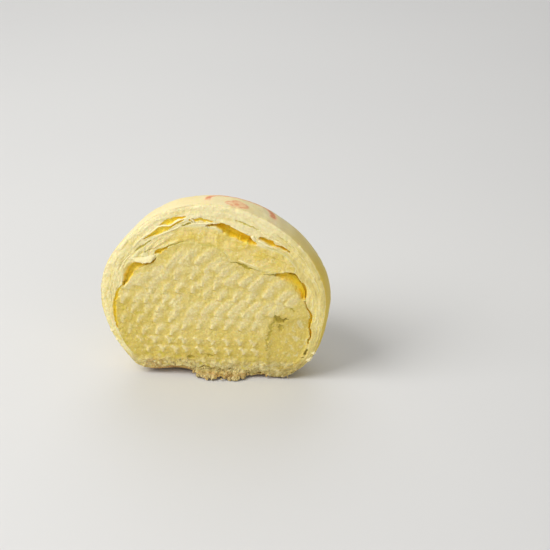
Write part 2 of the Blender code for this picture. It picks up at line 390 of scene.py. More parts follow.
# ------------------------------------------------------------- mesh building
def make_mesh(name, points, faces, attributes, materials, face_material=None, crease=None):
    """A mesh from mm points; edges between two points of crease stay sharp."""
    mesh = bpy.data.meshes.new(name)
    mesh.from_pydata(place(points).tolist(), [], faces)
    for key, values in attributes.items():
        layer = mesh.attributes.new(key, "FLOAT", "POINT")
        layer.data.foreach_set("value", np.asarray(values, np.float32))
    for m in materials:
        mesh.materials.append(m)
    if face_material is not None:
        mesh.polygons.foreach_set("material_index", np.asarray(face_material, np.int32))
    mesh.polygons.foreach_set("use_smooth", np.ones(len(mesh.polygons), bool))
    if crease is not None:
        on = np.zeros(len(points), bool)
        on[crease] = True
        ends = np.zeros(2 * len(mesh.edges), np.int32)
        mesh.edges.foreach_get("vertices", ends)
        mesh.edges.foreach_set("use_edge_sharp", on[ends.reshape(-1, 2)].all(axis=1))
    # Faces that shrink to nothing at a thin tip are taken out.
    tidy = bmesh.new()
    tidy.from_mesh(mesh)
    bmesh.ops.dissolve_degenerate(tidy, dist=2e-6, edges=tidy.edges[:])
    tidy.to_mesh(mesh)
    tidy.free()
    mesh.update()
    obj = bpy.data.objects.new(name, mesh)
    bpy.context.scene.collection.objects.link(obj)
    return obj


def grid_faces(rows, cols, start=0, flip=False):
    out = []
    for i in range(rows - 1):
        for j in range(cols - 1):
            a = start + i * cols + j
            quad = (a, a + 1, a + cols + 1, a + cols)
            out.append(quad[::-1] if flip else quad)
    return out


def ring_faces(a_ids, b_ids, flip=False):
    """Quads between two closed rings of the same length."""
    out = []
    n = len(a_ids)
    for i in range(n):
        j = (i + 1) % n
        quad = (a_ids[i], a_ids[j], b_ids[j], b_ids[i])
        out.append(quad[::-1] if flip else quad)
    return out


def disc_grid(n):
    """An even grid on the unit disc, with the order of its edge points."""
    line = np.linspace(-1.0, 1.0, n + 1)
    u, v = np.meshgrid(line, line)
    X = (u * np.sqrt(1 - v * v / 2)).ravel()
    Y = (v * np.sqrt(1 - u * u / 2)).ravel()
    edge = np.array(
        [i for i in range((n + 1) ** 2)
         if i % (n + 1) in (0, n) or i // (n + 1) in (0, n)]
    )
    order = np.argsort(np.mod(np.arctan2(Y[edge], X[edge]), 2 * math.pi))
    return X, Y, edge[order]


def blurred(values, n, times):
    g = values.reshape(n, -1)
    for _ in range(times):
        p = np.pad(g, 1, mode="edge")
        g = (p[:-2, 1:-1] + p[2:, 1:-1] + p[1:-1, :-2] + p[1:-1, 2:] + 2 * g) / 6
    return g.ravel()


def dome_rings(edge_xz, reach, steps, first_y):
    """Rings that carry an edge in the cut plane back round CENTRE to a point."""
    d = edge_xz - CENTRE
    r = np.hypot(d[:, 0], d[:, 1])
    rings = []
    for k in range(1, steps):
        b = (k / steps) * math.pi / 2
        depth = math.sin(b) * (r + (reach - r) * math.sin(b) ** 2)
        in_plane = CENTRE + d * math.cos(b)
        rings.append(
            np.stack([in_plane[:, 0], np.maximum(depth, first_y), in_plane[:, 1]], axis=1)
        )
    return rings, np.array([[CENTRE[0], reach, CENTRE[1]]])


# ------------------------------------------------------------------ materials
class Finish:
    """A Principled material with a few short ways to build its node tree."""

    def __init__(self, name, roughness, soft=0.0, soft_scale=0.002, radius=(1.0, 0.62, 0.22)):
        self.material = bpy.data.materials.new(name)
        self.material.use_nodes = True
        self.tree = self.material.node_tree
        self.shader = self.tree.nodes["Principled BSDF"]
        self.shader.inputs["Roughness"].default_value = roughness
        self.shader.inputs["Metallic"].default_value = 0.0
        self.shader.inputs["IOR"].default_value = 1.42
        self.shader.inputs["Specular IOR Level"].default_value = 0.32
        if soft:
            self.shader.inputs["Subsurface Weight"].default_value = soft
            self.shader.inputs["Subsurface Radius"].default_value = radius
            self.shader.inputs["Subsurface Scale"].default_value = soft_scale
        self.where = self.tree.nodes.new("ShaderNodeTexCoord").outputs["Object"]

    def link(self, a, b):
        self.tree.links.new(a, b)

    def feed(self, socket, value):
        if isinstance(value, bpy.types.NodeSocket):
            self.link(value, socket)
        elif isinstance(value, tuple) and len(value) == 3 and socket.type == "RGBA":
            socket.default_value = (*value, 1.0)
        else:
            socket.default_value = value

    def attribute(self, name):
        node = self.tree.nodes.new("ShaderNodeAttribute")
        node.attribute_name = name
        return node.outputs["Fac"]

    def scaled(self, scale, offset=(0.0, 0.0, 0.0)):
        node = self.tree.nodes.new("ShaderNodeMapping")
        node.inputs["Scale"].default_value = scale
        node.inputs["Location"].default_value = offset
        self.link(self.where, node.inputs["Vector"])
        return node.outputs["Vector"]

    def noise(self, scale, detail=3.0, rough=0.5, vector=None, distortion=0.0):
        node = self.tree.nodes.new("ShaderNodeTexNoise")
        node.inputs["Scale"].default_value = scale
        node.inputs["Detail"].default_value = detail
        node.inputs["Roughness"].default_value = rough
        node.inputs["Distortion"].default_value = distortion
        self.link(vector if vector is not None else self.where, node.inputs["Vector"])
        return node.outputs["Fac"]

    def cells(self, scale, vector=None):
        node = self.tree.nodes.new("ShaderNodeTexVoronoi")
        node.inputs["Scale"].default_value = scale
        self.link(vector if vector is not None else self.where, node.inputs["Vector"])
        return node.outputs["Distance"]

    def span(self, value, low, high, to_low=0.0, to_high=1.0):
        node = self.tree.nodes.new("ShaderNodeMapRange")
        node.interpolation_type = "SMOOTHSTEP"
        self.feed(node.inputs["Value"], value)
        node.inputs["From Min"].default_value = low
        node.inputs["From Max"].default_value = high
        node.inputs["To Min"].default_value = to_low
        node.inputs["To Max"].default_value = to_high
        return node.outputs["Result"]

    def maths(self, kind, a, b=0.0):
        node = self.tree.nodes.new("ShaderNodeMath")
        node.operation = kind
        self.feed(node.inputs[0], a)
        self.feed(node.inputs[1], b)
        return node.outputs[0]

    def mix(self, share, a, b, mode="MIX"):
        node = self.tree.nodes.new("ShaderNodeMix")
        node.data_type = "RGBA"
        node.blend_type = mode
        self.feed(node.inputs["Factor"], share)
        self.feed(node.inputs[6], a)
        self.feed(node.inputs[7], b)
        return node.outputs[2]

    def colour(self, value):
        self.feed(self.shader.inputs["Base Color"], value)

    def bump(self, height, strength, distance, below=None):
        node = self.tree.nodes.new("ShaderNodeBump")
        node.inputs["Strength"].default_value = strength
        node.inputs["Distance"].default_value = distance
        self.link(height, node.inputs["Height"])
        if below is not None:
            self.link(below, node.inputs["Normal"])
        self.link(node.outputs["Normal"], self.shader.inputs["Normal"])
        return node.outputs["Normal"]


# Painted light: the warm glow of light shining through the pastry into its gaps, as an unlit and a lit copy.
GLOW = (0.93, 0.62, 0.017)
GLOW_LIT = (0.95, 0.73, 0.085)
# Painted shade: the greenish yellow of shade in small gaps, slits and cracks; also the colour of random patches in the
# paste.
OLIVE = (0.64, 0.52, 0.075)
BROWN = (0.36, 0.20, 0.062)
TOAST = (0.56, 0.345, 0.115)
# Painted shade: the brown of shade in cracks, holes and hollows.
SHADE_BROWN = (0.30, 0.205, 0.032)
INK = (0.66, 0.165, 0.058)


def tinted(f, colour):
    """Painted glow of light through the pastry in the wide gaps, painted greenish-yellow
    shade in the small ones and the same colour in random patches of the paste, painted
    brown shade in cracks and holes, toasted where baked."""
    painted_glow = f.attribute("painted_glow")
    wander = f.noise(420.0, 3.0, 0.6)
    # Painted greenish-yellow shade in small gaps, and random patches in the paste.
    colour = f.mix(f.span(f.attribute("shade_and_mottle"), 0.0, 1.0, 0.0, 0.9), colour, OLIVE)
    # Painted glow, its lit and unlit copies mixed at random.
    glow_colour = f.mix(f.span(wander, 0.35, 0.68), GLOW, GLOW_LIT)
    colour = f.mix(f.span(painted_glow, 0.0, 0.80), colour, glow_colour)
    # Painted shade in cracks, holes and hollows.
    colour = f.mix(f.span(f.attribute("painted_shade"), 0.0, 1.0, 0.0, 0.92), colour, SHADE_BROWN)
    toast_colour = f.mix(f.span(f.noise(330.0, 4.0, 0.65), 0.38, 0.66), TOAST, BROWN)
    return f.mix(f.span(f.attribute("brown"), 0.0, 1.0), colour, toast_colour)


# Outer skin, with its red stamp: a rounded frame round two small blossoms.
skin = Finish("baked_skin", 0.58, soft=0.22, soft_scale=0.0022)
patches = skin.noise(62.0, 3.0, 0.5)
colour = skin.mix(skin.span(patches, 0.36, 0.66), (0.88, 0.74, 0.33), (0.83, 0.66, 0.22))
streaks = skin.noise(150.0, 4.0, 0.6, skin.scaled((0.6, 0.6, 2.4)))
colour = skin.mix(skin.span(streaks, 0.50, 0.78, 0.0, 0.35), colour, (0.91, 0.80, 0.44))
# Painted shade: a deeper, more saturated yellow low down and on the right side, as in shade lit by yellow bounce
# light; also darker where the top layer peeled or cracked.
colour = skin.mix(skin.attribute("deep"), colour, (0.78, 0.575, 0.075))
# Painted light: a paler, less yellow tone on the top of the bun, where the light falls full on it.
lit_top_colour = skin.mix(skin.span(skin.noise(95.0, 4.0, 0.6), 0.36, 0.66), (0.765, 0.68, 0.405), (0.735, 0.63, 0.33))
colour = skin.mix(skin.attribute("lit_top"), colour, lit_top_colour)
freckle = skin.cells(260.0)
speck = skin.maths("MULTIPLY", skin.span(freckle, 0.10, 0.03), skin.span(skin.noise(55.0), 0.56, 0.64))
colour = skin.mix(skin.maths("MULTIPLY", speck, 0.55), colour, (0.55, 0.38, 0.12))
ink_break = skin.span(skin.noise(900.0, 3.0, 0.7), 0.30, 0.56, 0.35, 1.0)
ink_fade = skin.span(skin.noise(210.0, 2.0, 0.5), 0.32, 0.62, 0.45, 1.0)
ink = skin.maths("MULTIPLY", skin.maths("MULTIPLY", skin.attribute("stamp"), ink_break), ink_fade)
colour = skin.mix(skin.span(skin.attribute("stamp_bleed"), 0.0, 1.0, 0.0, 0.32), colour, (0.93, 0.55, 0.33))
colour = skin.mix(ink, colour, INK)
toast = skin.mix(skin.span(skin.noise(260.0, 4.0, 0.65), 0.38, 0.66), TOAST, BROWN)
colour = skin.mix(skin.attribute("brown"), colour, toast)
skin.colour(colour)
fine = skin.bump(skin.noise(1500.0, 4.0, 0.65), 0.22, 0.0006)
skin.bump(skin.noise(320.0, 3.0, 0.55, skin.scaled((1.0, 1.0, 1.8))), 0.27, 0.0012, fine)

def layer_colour(f):
    """The torn edge of the flaky layers, before the painted shade on the right side and at the foot, and crumbs."""
    made = f.mix(f.span(f.attribute("tone"), 0.15, 0.85), (0.84, 0.69, 0.22), (0.95, 0.845, 0.48))
    made = f.mix(f.span(f.noise(240.0, 3.0, 0.6), 0.45, 0.72, 0.0, 0.5), made, (0.88, 0.75, 0.31))
    made = f.mix(f.span(f.noise(780.0, 3.0, 0.65), 0.50, 0.70, 0.0, 0.55), made, (0.80, 0.655, 0.19))
    made = f.mix(f.span(f.noise(1500.0, 3.0, 0.65), 0.54, 0.70, 0.0, 0.60), made, (0.96, 0.88, 0.58))
    return f.mix(f.span(f.attribute("pale"), 0.0, 1.0, 0.0, 0.9), made, (0.93, 0.835, 0.50))


# Thin loose layers let no light through.
leafy = Finish("thin_layers", 0.66)
leafy.colour(tinted(leafy, layer_colour(leafy)))
fine = leafy.bump(leafy.noise(2300.0, 4.0, 0.7), 0.30, 0.0005)
leafy.bump(leafy.noise(700.0, 3.0, 0.6), 0.30, 0.0008, fine)

flaky = Finish("torn_layers", 0.66, soft=0.25, soft_scale=0.0011)
colour = layer_colour(flaky)
# Painted shade: a deeper yellow on the right side of the torn layers.
colour = flaky.mix(flaky.span(flaky.attribute("side_shade"), 0.0, 1.0, 0.0, 0.85), colour, (0.73, 0.60, 0.20))
# Painted shade: darker towards the foot of the cut.
colour = flaky.mix(flaky.attribute("foot"), colour, (0.43, 0.325, 0.095))
colour = flaky.mix(flaky.span(flaky.attribute("white"), 0.0, 1.0, 0.0, 0.70), colour, (0.72, 0.625, 0.32))
flaky.colour(tinted(flaky, colour))
fine = flaky.bump(flaky.noise(2300.0, 4.0, 0.7), 0.36, 0.0005)
flaky.bump(flaky.noise(700.0, 3.0, 0.6), 0.34, 0.0009, fine)

# Soft inner dough: waxy, deeper yellow.
waxy = Finish("waxy_dough", 0.46, soft=0.35, soft_scale=0.0015)
colour = waxy.mix(waxy.span(waxy.noise(210.0, 4.0, 0.6), 0.38, 0.64), (0.88, 0.71, 0.27), (0.77, 0.60, 0.125))
colour = waxy.mix(waxy.span(waxy.noise(850.0, 3.0, 0.65), 0.52, 0.70, 0.0, 0.65), colour, (0.93, 0.80, 0.42))
colour = waxy.mix(waxy.span(waxy.noise(640.0, 3.0, 0.6), 0.56, 0.72, 0.0, 0.45), colour, (0.70, 0.54, 0.09))
colour = waxy.mix(waxy.span(waxy.attribute("tone"), 0.2, 0.9, 0.0, 0.8), colour, (0.93, 0.81, 0.44))
waxy.colour(tinted(waxy, colour))
fine = waxy.bump(waxy.noise(1500.0, 4.0, 0.65), 0.34, 0.0006)
waxy.bump(waxy.noise(420.0, 3.0, 0.6), 0.32, 0.0010, fine)

# Bean paste: dry and grainy.
beany = Finish("grainy_paste", 0.80, soft=0.22, soft_scale=0.0009)
colour = beany.mix(beany.span(beany.noise(190.0, 4.0, 0.6), 0.36, 0.68), (0.82, 0.69, 0.265), (0.78, 0.63, 0.165))
colour = beany.mix(beany.span(beany.attribute("plain"), 0.0, 1.0, 0.0, 0.85), colour, (0.70, 0.55, 0.125))
# Painted shade: a deeper yellow in the hollows of the paste.
colour = beany.mix(beany.span(beany.attribute("hollow_shade"), 0.10, 1.0, 0.0, 0.9), colour, (0.74, 0.57, 0.095))
# Painted highlight: pale stripes along the lit upper-left flanks of the knife marks.
colour = beany.mix(beany.span(beany.attribute("stripe_highlight"), 0.05, 0.90, 0.0, 0.9), colour, (0.89, 0.785, 0.42))
# Painted highlight: paler on the raised bits of the paste.
colour = beany.mix(beany.span(beany.attribute("proud_highlight"), 0.10, 0.9, 0.0, 0.55), colour, (0.91, 0.81, 0.46))
mottle = beany.span(beany.noise(620.0, 3.0, 0.65), 0.50, 0.70, 0.0, 0.45)
colour = beany.mix(mottle, colour, (0.70, 0.54, 0.10))
grains = beany.cells(1150.0)
colour = beany.mix(beany.span(grains, 0.20, 0.55, 0.0, 0.30), colour, (0.62, 0.46, 0.10))
pale_grains = beany.span(beany.noise(1050.0, 3.0, 0.6), 0.54, 0.68, 0.0, 0.32)
colour = beany.mix(pale_grains, colour, (0.92, 0.84, 0.50))
# Painted shade: darker towards the foot of the cut.
colour = beany.mix(beany.attribute("foot"), colour, (0.46, 0.35, 0.10))
colour = beany.mix(beany.span(beany.attribute("white"), 0.0, 1.0, 0.0, 0.75), colour, (0.78, 0.69, 0.36))
beany.colour(tinted(beany, colour))
fine = beany.bump(beany.noise(2600.0, 4.0, 0.7), 0.35, 0.0005)
beany.bump(beany.cells(1100.0), 0.22, 0.0006, fine)

# Loose crumbs.
crumbly = Finish("crumbs", 0.78)
colour = crumbly.mix(crumbly.span(crumbly.noise(500.0, 3.0, 0.6), 0.36, 0.66), (0.59, 0.485, 0.22), (0.475, 0.355, 0.115))
colour = crumbly.mix(crumbly.span(crumbly.noise(1100.0, 3.0, 0.6), 0.52, 0.66, 0.0, 0.5), colour, (0.78, 0.70, 0.42))
crumbly.colour(tinted(crumbly, colour))
crumbly.bump(crumbly.noise(2400.0, 4.0, 0.7), 0.4, 0.0005)


# ----------------------------------------------------------- the pastry's body
SKIN_N = 216
X, Y, rim = disc_grid(SKIN_N)
rho = np.minimum(np.hypot(X, Y), 1.0)
alpha = np.arctan2(Y, X)
skin_p = bun_points(alpha, (1.0 - rho) * math.pi / 2)
skin_p[rim, 1] = 0.0

# Round the base's corner a little, then let the bun settle.
keep = skin_p[rim].copy()
for _ in range(6):
    for axis in range(3):
        skin_p[:, axis] = blurred(skin_p[:, axis], SKIN_N + 1, 1)
    skin_p[rim] = keep
skin_p = settled(skin_p)

out = skin_p - np.array([CENTRE[0], 6.0, 25.0])
out /= np.linalg.norm(out, axis=1)[:, None]
lift = smooth(skin_p[:, 2] / 5.0)
lump = 0.34 * fractal(skin_p, 15.0, 41, 2) + 0.13 * fractal(skin_p, 5.2, 47, 3)
lump += 0.045 * fractal(skin_p, 1.7, 53, 3)
shoulder = np.exp(-(((skin_p[:, 0] + 24.0) / 9.0) ** 2) - (((skin_p[:, 2] - 44.5) / 7.5) ** 2))
lump -= 0.95 * shoulder * np.exp(-((skin_p[:, 1] / 14.0) ** 2))
# Away from the cut the thin top layer has peeled in patches and is finely cracked.
behind = smooth((skin_p[:, 1] - 3.0) / 6.0)
frail = behind * (0.35 + 0.65 * smooth((51.0 - skin_p[:, 2]) / 8.0))
peeled = smooth((fractal(skin_p, 6.5, 57, 4, 0.6) - 0.14) / 0.06) * frail
fissure = np.exp(-((fractal(skin_p * np.array([1.0, 1.0, 0.7]), 8.5, 71, 4, 0.6) / 0.028) ** 2))
fissure *= smooth((fractal(skin_p, 9.0, 73, 2) - 0.02) / 0.2) * frail
lump -= 0.17 * peeled + 0.10 * fissure
skin_p += out * (lump * lift - 0.12)[:, None]
skin_p[:, 2] = np.maximum(skin_p[:, 2], 0.0)

# The foot of the cut stands a little off the surface, unevenly.
def foot_gap(x):
    left = 2.7 * np.exp(-(((x + 13.0) / 5.6) ** 2)) + 0.9 * np.exp(-(((x + 21.0) / 3.5) ** 2))
    return left + 0.7 * np.exp(-(((x - 13.2) / 2.2) ** 2)) + 0.5


front_near = np.exp(-np.maximum(skin_p[:, 1], 0.0) / 2.4)
low = smooth((4.5 - skin_p[:, 2]) / 4.5)
skin_p[:, 2] += foot_gap(skin_p[:, 0]) * front_near * low

rim_p = skin_p[rim]
step = np.hypot(*(np.roll(rim_p, -1, 0) - rim_p)[:, [0, 2]].T)
arc = np.concatenate([[0.0], np.cumsum(step)[:-1]])
arc_total = step.sum()
turn = arc / arc_total * 2 * math.pi
loop = np.stack([np.cos(turn), np.sin(turn)], axis=1) * arc_total / (2 * math.pi)
rim_noise = np.column_stack([loop, np.zeros(len(loop))])
nick = smooth((fractal(rim_noise, 3.2, 61, 3) - 0.14) / 0.35)
rim_y = 0.20 + 0.22 * fractal(rim_noise, 1.6, 63, 3) + 0.35 * nick
rim_in = 0.10 + 0.20 * fractal(rim_noise, 1.1, 67, 3) + 0.26 * nick

ang_rim = np.arctan2(rim_p[:, 2] - BELLY, rim_p[:, 0])
order = np.argsort(ang_rim)
ang_all = np.arctan2(skin_p[:, 2] - BELLY, skin_p[:, 0])
y_edge = np.interp(ang_all, ang_rim[order], rim_y[order], period=2 * math.pi)
in_edge = np.interp(ang_all, ang_rim[order], rim_in[order], period=2 * math.pi)
depth0 = np.maximum(skin_p[:, 1], 0.0)
skin_p -= out * (in_edge * np.exp(-depth0 / 0.55))[:, None]
skin_p[:, 1] = depth0 + y_edge * np.exp(-depth0 / 1.1)

# Front of the pastry: rings from the rim in to the core.
RINGS = 44
rim_p = skin_p[rim]
rim_xz = rim_p[:, [0, 2]]
to_mid = rim_xz - CENTRE
rim_angle = np.arctan2(to_mid[:, 1], to_mid[:, 0])
core_r = core_radius(rim_angle)
core_xz = CENTRE + np.stack([np.cos(rim_angle), np.sin(rim_angle)], axis=1) * core_r[:, None]
band = np.maximum(np.hypot(*(rim_xz - core_xz).T), 0.3)
share = np.linspace(0.0, 1.0, RINGS) ** 0.94
front = []
front_d = []
front_arc = []
for s in share[1:]:
    p = rim_xz + (core_xz - rim_xz) * s
    front.append(p)
    front_d.append(band * s)
    front_arc.append(arc)
front_xz = np.concatenate(front)
front_d = np.concatenate(front_d)
front_arc = np.concatenate(front_arc)
front_angle = np.tile(rim_angle, RINGS - 1)
front_band = np.tile(band, RINGS - 1)
fx, fz = front_xz[:, 0], front_xz[:, 1]
fturn = front_arc / arc_total * 2 * math.pi
fl = np.stack([np.cos(fturn), np.sin(fturn)], axis=1) * arc_total / (2 * math.pi)


def along(scale_arc, scale_d, shift=0.0):
    """Noise points drawn out along the layers."""
    return np.column_stack([fl / scale_arc, front_d / scale_d + shift])


degrees = np.degrees(front_angle) % 360.0
upper_left = smooth((degrees - 88.0) / 22.0) * smooth((232.0 - degrees) / 22.0)
right_side = smooth((62.0 - ((degrees + 90) % 360 - 90)) / 25.0) * smooth((((degrees + 90) % 360 - 90) + 52.0) / 20.0)
bottom = smooth((7.5 - fz) / 4.0)
inner_part = smooth((front_d - 2.6) / 2.5)
flakes = 0.34 + upper_left * (0.02 + 0.34 * inner_part) + 0.22 * right_side
wander = 0.75 * fractal(np.column_stack([fl, front_d]), 5.0, 71, 3)
layers = grain(np.column_stack([fl / 8.5, (front_d + wander) / 0.62]), 73)
layers_fine = grain(np.column_stack([fl / 4.5, (front_d + wander) / 0.33]), 79)
broad = fractal(np.column_stack([fl / 3.0, front_d]), 2.6, 83, 2)
crumb = fractal(xz(fx, fz), 0.85, 89, 3, 0.6)
lumps = fractal(xz(fx, fz), 2.2, 97, 3, 0.6)
tear = smooth((grain(np.column_stack([fl / 5.5, (front_d + wander) / 0.8 + 9.0]), 101) - 0.36) / 0.22)
relief = (
    flakes * (0.17 * layers + 0.08 * layers_fine)
    + 0.24 * broad
    + (0.13 + 0.20 * bottom) * crumb
    + 0.62 * bottom * lumps
    - flakes * upper_left * 0.22 * tear
)
gap_depth, gap_painted_glow, gap_shade_and_mottle, gap_painted_shade = carved(fx, fz, ("left_amber",))
edge_round = np.tile(rim_y, RINGS - 1) * np.exp(-((front_d / 0.42) ** 2))


def lip_reach(x, z):
    """How far the torn crust at the foot of the cut comes forward."""
    q = xz(x, z)
    across = np.sqrt(np.clip(1.0 - ((x - 0.6) / 8.3) ** 2, 0.0, 1.0))
    torn = 0.80 + 0.30 * fractal(q, 2.6, 221, 3, 0.6)
    return 4.1 * across**0.75 * torn * smooth((2.7 + 0.5 * grain(q / 1.9, 223) - z) / 2.1)


def foot_shade(x, z):
    """Painted shade: the crumb darker towards the foot of the cut, unevenly."""
    q = xz(x, z)
    share = smooth((8.5 + 3.0 * fractal(q, 5.0, 241, 3, 0.6) - z) / 8.0)
    return share * np.clip(0.80 + 0.7 * fractal(q, 1.6, 243, 3, 0.6), 0.0, 1.0)


lip = lip_reach(fx, fz)
relief = relief * np.maximum(bottom, smooth((front_band - front_d) / 0.8)) + shared(fx, fz)
front_y = 0.14 - relief + gap_depth + edge_round - lip
front_y = np.maximum(front_y, -4.9)
q = np.column_stack([fx, front_y, fz])
knead = smooth(lip / 1.2)
fx = fx + 0.75 * knead * fractal(q, 1.5, 227, 3, 0.65)
fz = np.maximum(fz + 0.95 * knead * fractal(q, 1.5, 229, 3, 0.65), 0.03)
front_y = np.maximum(front_y + 0.80 * knead * fractal(q + 31.0, 1.3, 233, 3, 0.65), -4.9)
front_p = np.column_stack([fx, front_y, fz])

rings, tip = dome_rings(core_xz, 30.5, 14, 5.0)
room = np.concatenate(rings + [tip])
pastry_points = np.concatenate([skin_p, front_p, room])

n_skin, n_front = len(skin_p), len(front_p)
faces = grid_faces(SKIN_N + 1, SKIN_N + 1, 0, flip=True)
count_skin = len(faces)
ids = [rim] + [n_skin + k * len(rim) + np.arange(len(rim)) for k in range(RINGS - 1)]
for a, b in zip(ids[:-1], ids[1:]):
    faces += ring_faces(a.tolist(), b.tolist())
last = ids[-1]
for k in range(len(rings)):
    this = n_skin + n_front + k * len(rim) + np.arange(len(rim))
    faces += ring_faces(last.tolist(), this.tolist())
    last = this
apex = len(pastry_points) - 1
faces += [(int(last[i]), int(last[(i + 1) % len(last)]), apex) for i in range(len(last))]

# Stamp on the crown: a rounded frame that the knife went through.
sx, sy = skin_p[:, 0] - 7.2, skin_p[:, 1]
wob = 0.26 * fractal(skin_p, 2.4, 113, 3, 0.6)
bx = np.maximum(np.abs(sx) - 5.6, 0.0)
by = np.maximum(sy - 4.8, 0.0)
frame_d = np.hypot(bx, by) - 4.1 + wob
line_half = 0.60 + 0.25 * smooth((np.abs(sx) - 6.5) / 2.0)
on_top = smooth((skin_p[:, 2] - 44.0) / 3.0)
line = smooth((line_half + 0.20 - np.abs(frame_d)) / 0.42)
r = np.hypot(sx + 0.9, 1.25 * (sy - 2.9)) + 0.6 * wob
a = np.arctan2(1.25 * (sy - 2.9), sx + 0.9)
petal = 3.1 * (0.66 + 0.34 * np.abs(np.cos(2.0 * a)))
petals = np.maximum(
    smooth((0.75 - np.abs(r - petal)) / 0.45), smooth((1.0 - r) / 0.4)
)
petals = np.maximum(petals, 0.50 * smooth((petal - r) / 0.5))
worn = smooth((sy - 2.6 + 0.8 * wob) / 2.4)
stamp = np.maximum(0.92 * line * worn, 0.80 * petals * smooth((sy - 0.4) / 1.2)) * on_top
bleed = smooth((line_half + 1.2 - np.abs(frame_d)) / 1.3) * on_top * (0.35 + 0.65 * worn)
bleed = np.maximum(bleed, 0.9 * smooth((4.0 - r) / 1.4) * on_top)

above_foot = skin_p[:, 2] - foot_gap(skin_p[:, 0]) * np.exp(-np.maximum(skin_p[:, 1], 0.0) / 2.4)
skin_brown = smooth((1.5 + 1.0 * fractal(skin_p, 3.0, 127, 3) - above_foot) / 1.3)
skin_brown = np.maximum(skin_brown, 0.30 * smooth((3.6 + 2.0 * fractal(skin_p, 7.0, 131, 2) - skin_p[:, 2]) / 3.0))
# Painted light on the top of the bun.
lit_top = 0.85 * smooth((skin_p[:, 2] - 36.0 + 6.0 * fractal(skin_p, 13.0, 137, 2)) / 16.0)
# Painted shade low down and on the right side, broken into blotches behind the cut; peeled patches and cracks add
# their own darker colour.
deep = 0.9 * smooth((38.0 - skin_p[:, 2] + 5.0 * fractal(skin_p, 13.0, 133, 2)) / 24.0)
deep = np.maximum(deep, 0.85 * smooth((skin_p[:, 0] - 14.0) / 12.0) * smooth((54.0 - skin_p[:, 2]) / 8.0))
blotch = fractal(skin_p, 6.0, 139, 4, 0.6)
deep *= 1.0 - behind * np.clip(0.62 - 0.75 * blotch, 0.15, 0.95)
deep = np.clip(deep + 0.14 * peeled + 0.06 * fissure, 0.0, 1.0)
baked = 0.70 * smooth((4.2 + 2.6 * fractal(skin_p, 4.5, 143, 4, 0.6) - skin_p[:, 2]) / 3.0)
skin_brown = np.maximum(skin_brown, behind * baked)

# Tone of the layers, lower along the tears as painted shade in them.
front_tone = 0.55 + 0.35 * layers + 0.20 * layers_fine + 0.15 * broad - 0.25 * tear * upper_left
# Painted shade: lower tone on the right side.
front_tone -= 0.15 * right_side
over_foot = fz - foot_gap(fx)
front_brown = 0.85 * smooth((0.7 + 1.6 * fractal(xz(fx, fz), 2.2, 139, 3) - over_foot) / 1.0)
front_brown *= smooth((-4.0 - fx) / 3.0) * smooth((fx + 27.0) / 3.0)
front_brown = np.maximum(front_brown, 0.8 * smooth((0.2 + 0.9 * lumps - over_foot) / 0.7))
toasted = smooth((6.2 + 1.5 * lumps - fz) / 2.0) * smooth((fx + 24.0) / 2.0) * smooth((-15.0 - fx) / 3.0)
front_brown = np.maximum(front_brown, 0.56 * toasted * smooth((lumps + 0.55) / 0.5))
crust = fractal(np.column_stack([fx, front_y, fz]), 1.8, 231, 3, 0.6)
front_brown = np.maximum(front_brown, knead * (0.42 + 0.56 * smooth((crust - 0.02) / 0.35)) * smooth((3.1 - fz) / 1.5))
front_brown = np.maximum(front_brown, knead * smooth((-4.6 - fx) / 1.5) * smooth((1.9 - fz) / 1.0))
# Painted shade in the hollows between the lumps at the foot of the cut.
gap_painted_shade = np.maximum(gap_painted_shade, 0.42 * bottom * smooth((-0.18 - lumps) / 0.25) * smooth((crumb + 0.2) / 0.4))
front_white = bottom * smooth((lumps - 0.02) / 0.35) * (1.0 - 0.6 * front_brown)
front_pale = smooth((fz - 38.0) / 12.0) * (0.55 + 0.35 * broad)
front_pale = np.maximum(front_pale, np.exp(-((front_d / 1.1) ** 2)) * smooth((fz - 20.0) / 14.0))
# Painted shade on the right side of the cut band.
front_side_shade = right_side * smooth((0.35 + broad) / 0.7)
# Painted shade towards the foot, and on the lower right of the cut band.
front_foot_shade = np.maximum(foot_shade(fx, fz), 0.8 * smooth((8.0 - fz) / 3.0) * smooth((fx - 4.0) / 4.0))
front_foot_shade *= 1.0 - 0.7 * toasted

zeros_room = np.zeros(len(room))


def whole(skin_part, front_part):
    return np.concatenate([skin_part, front_part, zeros_room])


flat_skin = np.zeros(n_skin)
pastry = make_mesh(
    "baked_pastry",
    pastry_points,
    faces,
    {
        "stamp": whole(stamp, np.zeros(n_front)),
        "stamp_bleed": whole(bleed, np.zeros(n_front)),
        "lit_top": whole(lit_top, np.zeros(n_front)),
        "deep": whole(deep, np.zeros(n_front)),
        "brown": whole(skin_brown, front_brown),
        "tone": whole(flat_skin + 0.6, front_tone),
        "painted_glow": whole(flat_skin, gap_painted_glow),
        "painted_shade": whole(flat_skin, gap_painted_shade),
        "white": whole(flat_skin, front_white),
        "pale": whole(flat_skin, front_pale),
        "side_shade": whole(flat_skin, front_side_shade),
        "foot": whole(flat_skin, front_foot_shade),
        "shade_and_mottle": whole(flat_skin, gap_shade_and_mottle),
    },
    [skin.material, flaky.material],
    [0] * count_skin + [1] * (len(faces) - count_skin),
    crease=ids[-1],
)

# ------------------------------------------------------------------ the paste
PASTE_N = 264
X, Y, edge = disc_grid(PASTE_N)
rho = np.minimum(np.hypot(X, Y), 1.0)
ang = np.arctan2(Y, X)
pr = paste_edge(ang) * rho
px, pz = CENTRE[0] + pr * np.cos(ang), CENTRE[1] + pr * np.sin(ang)
inward = paste_edge(ang) * (1.0 - rho)

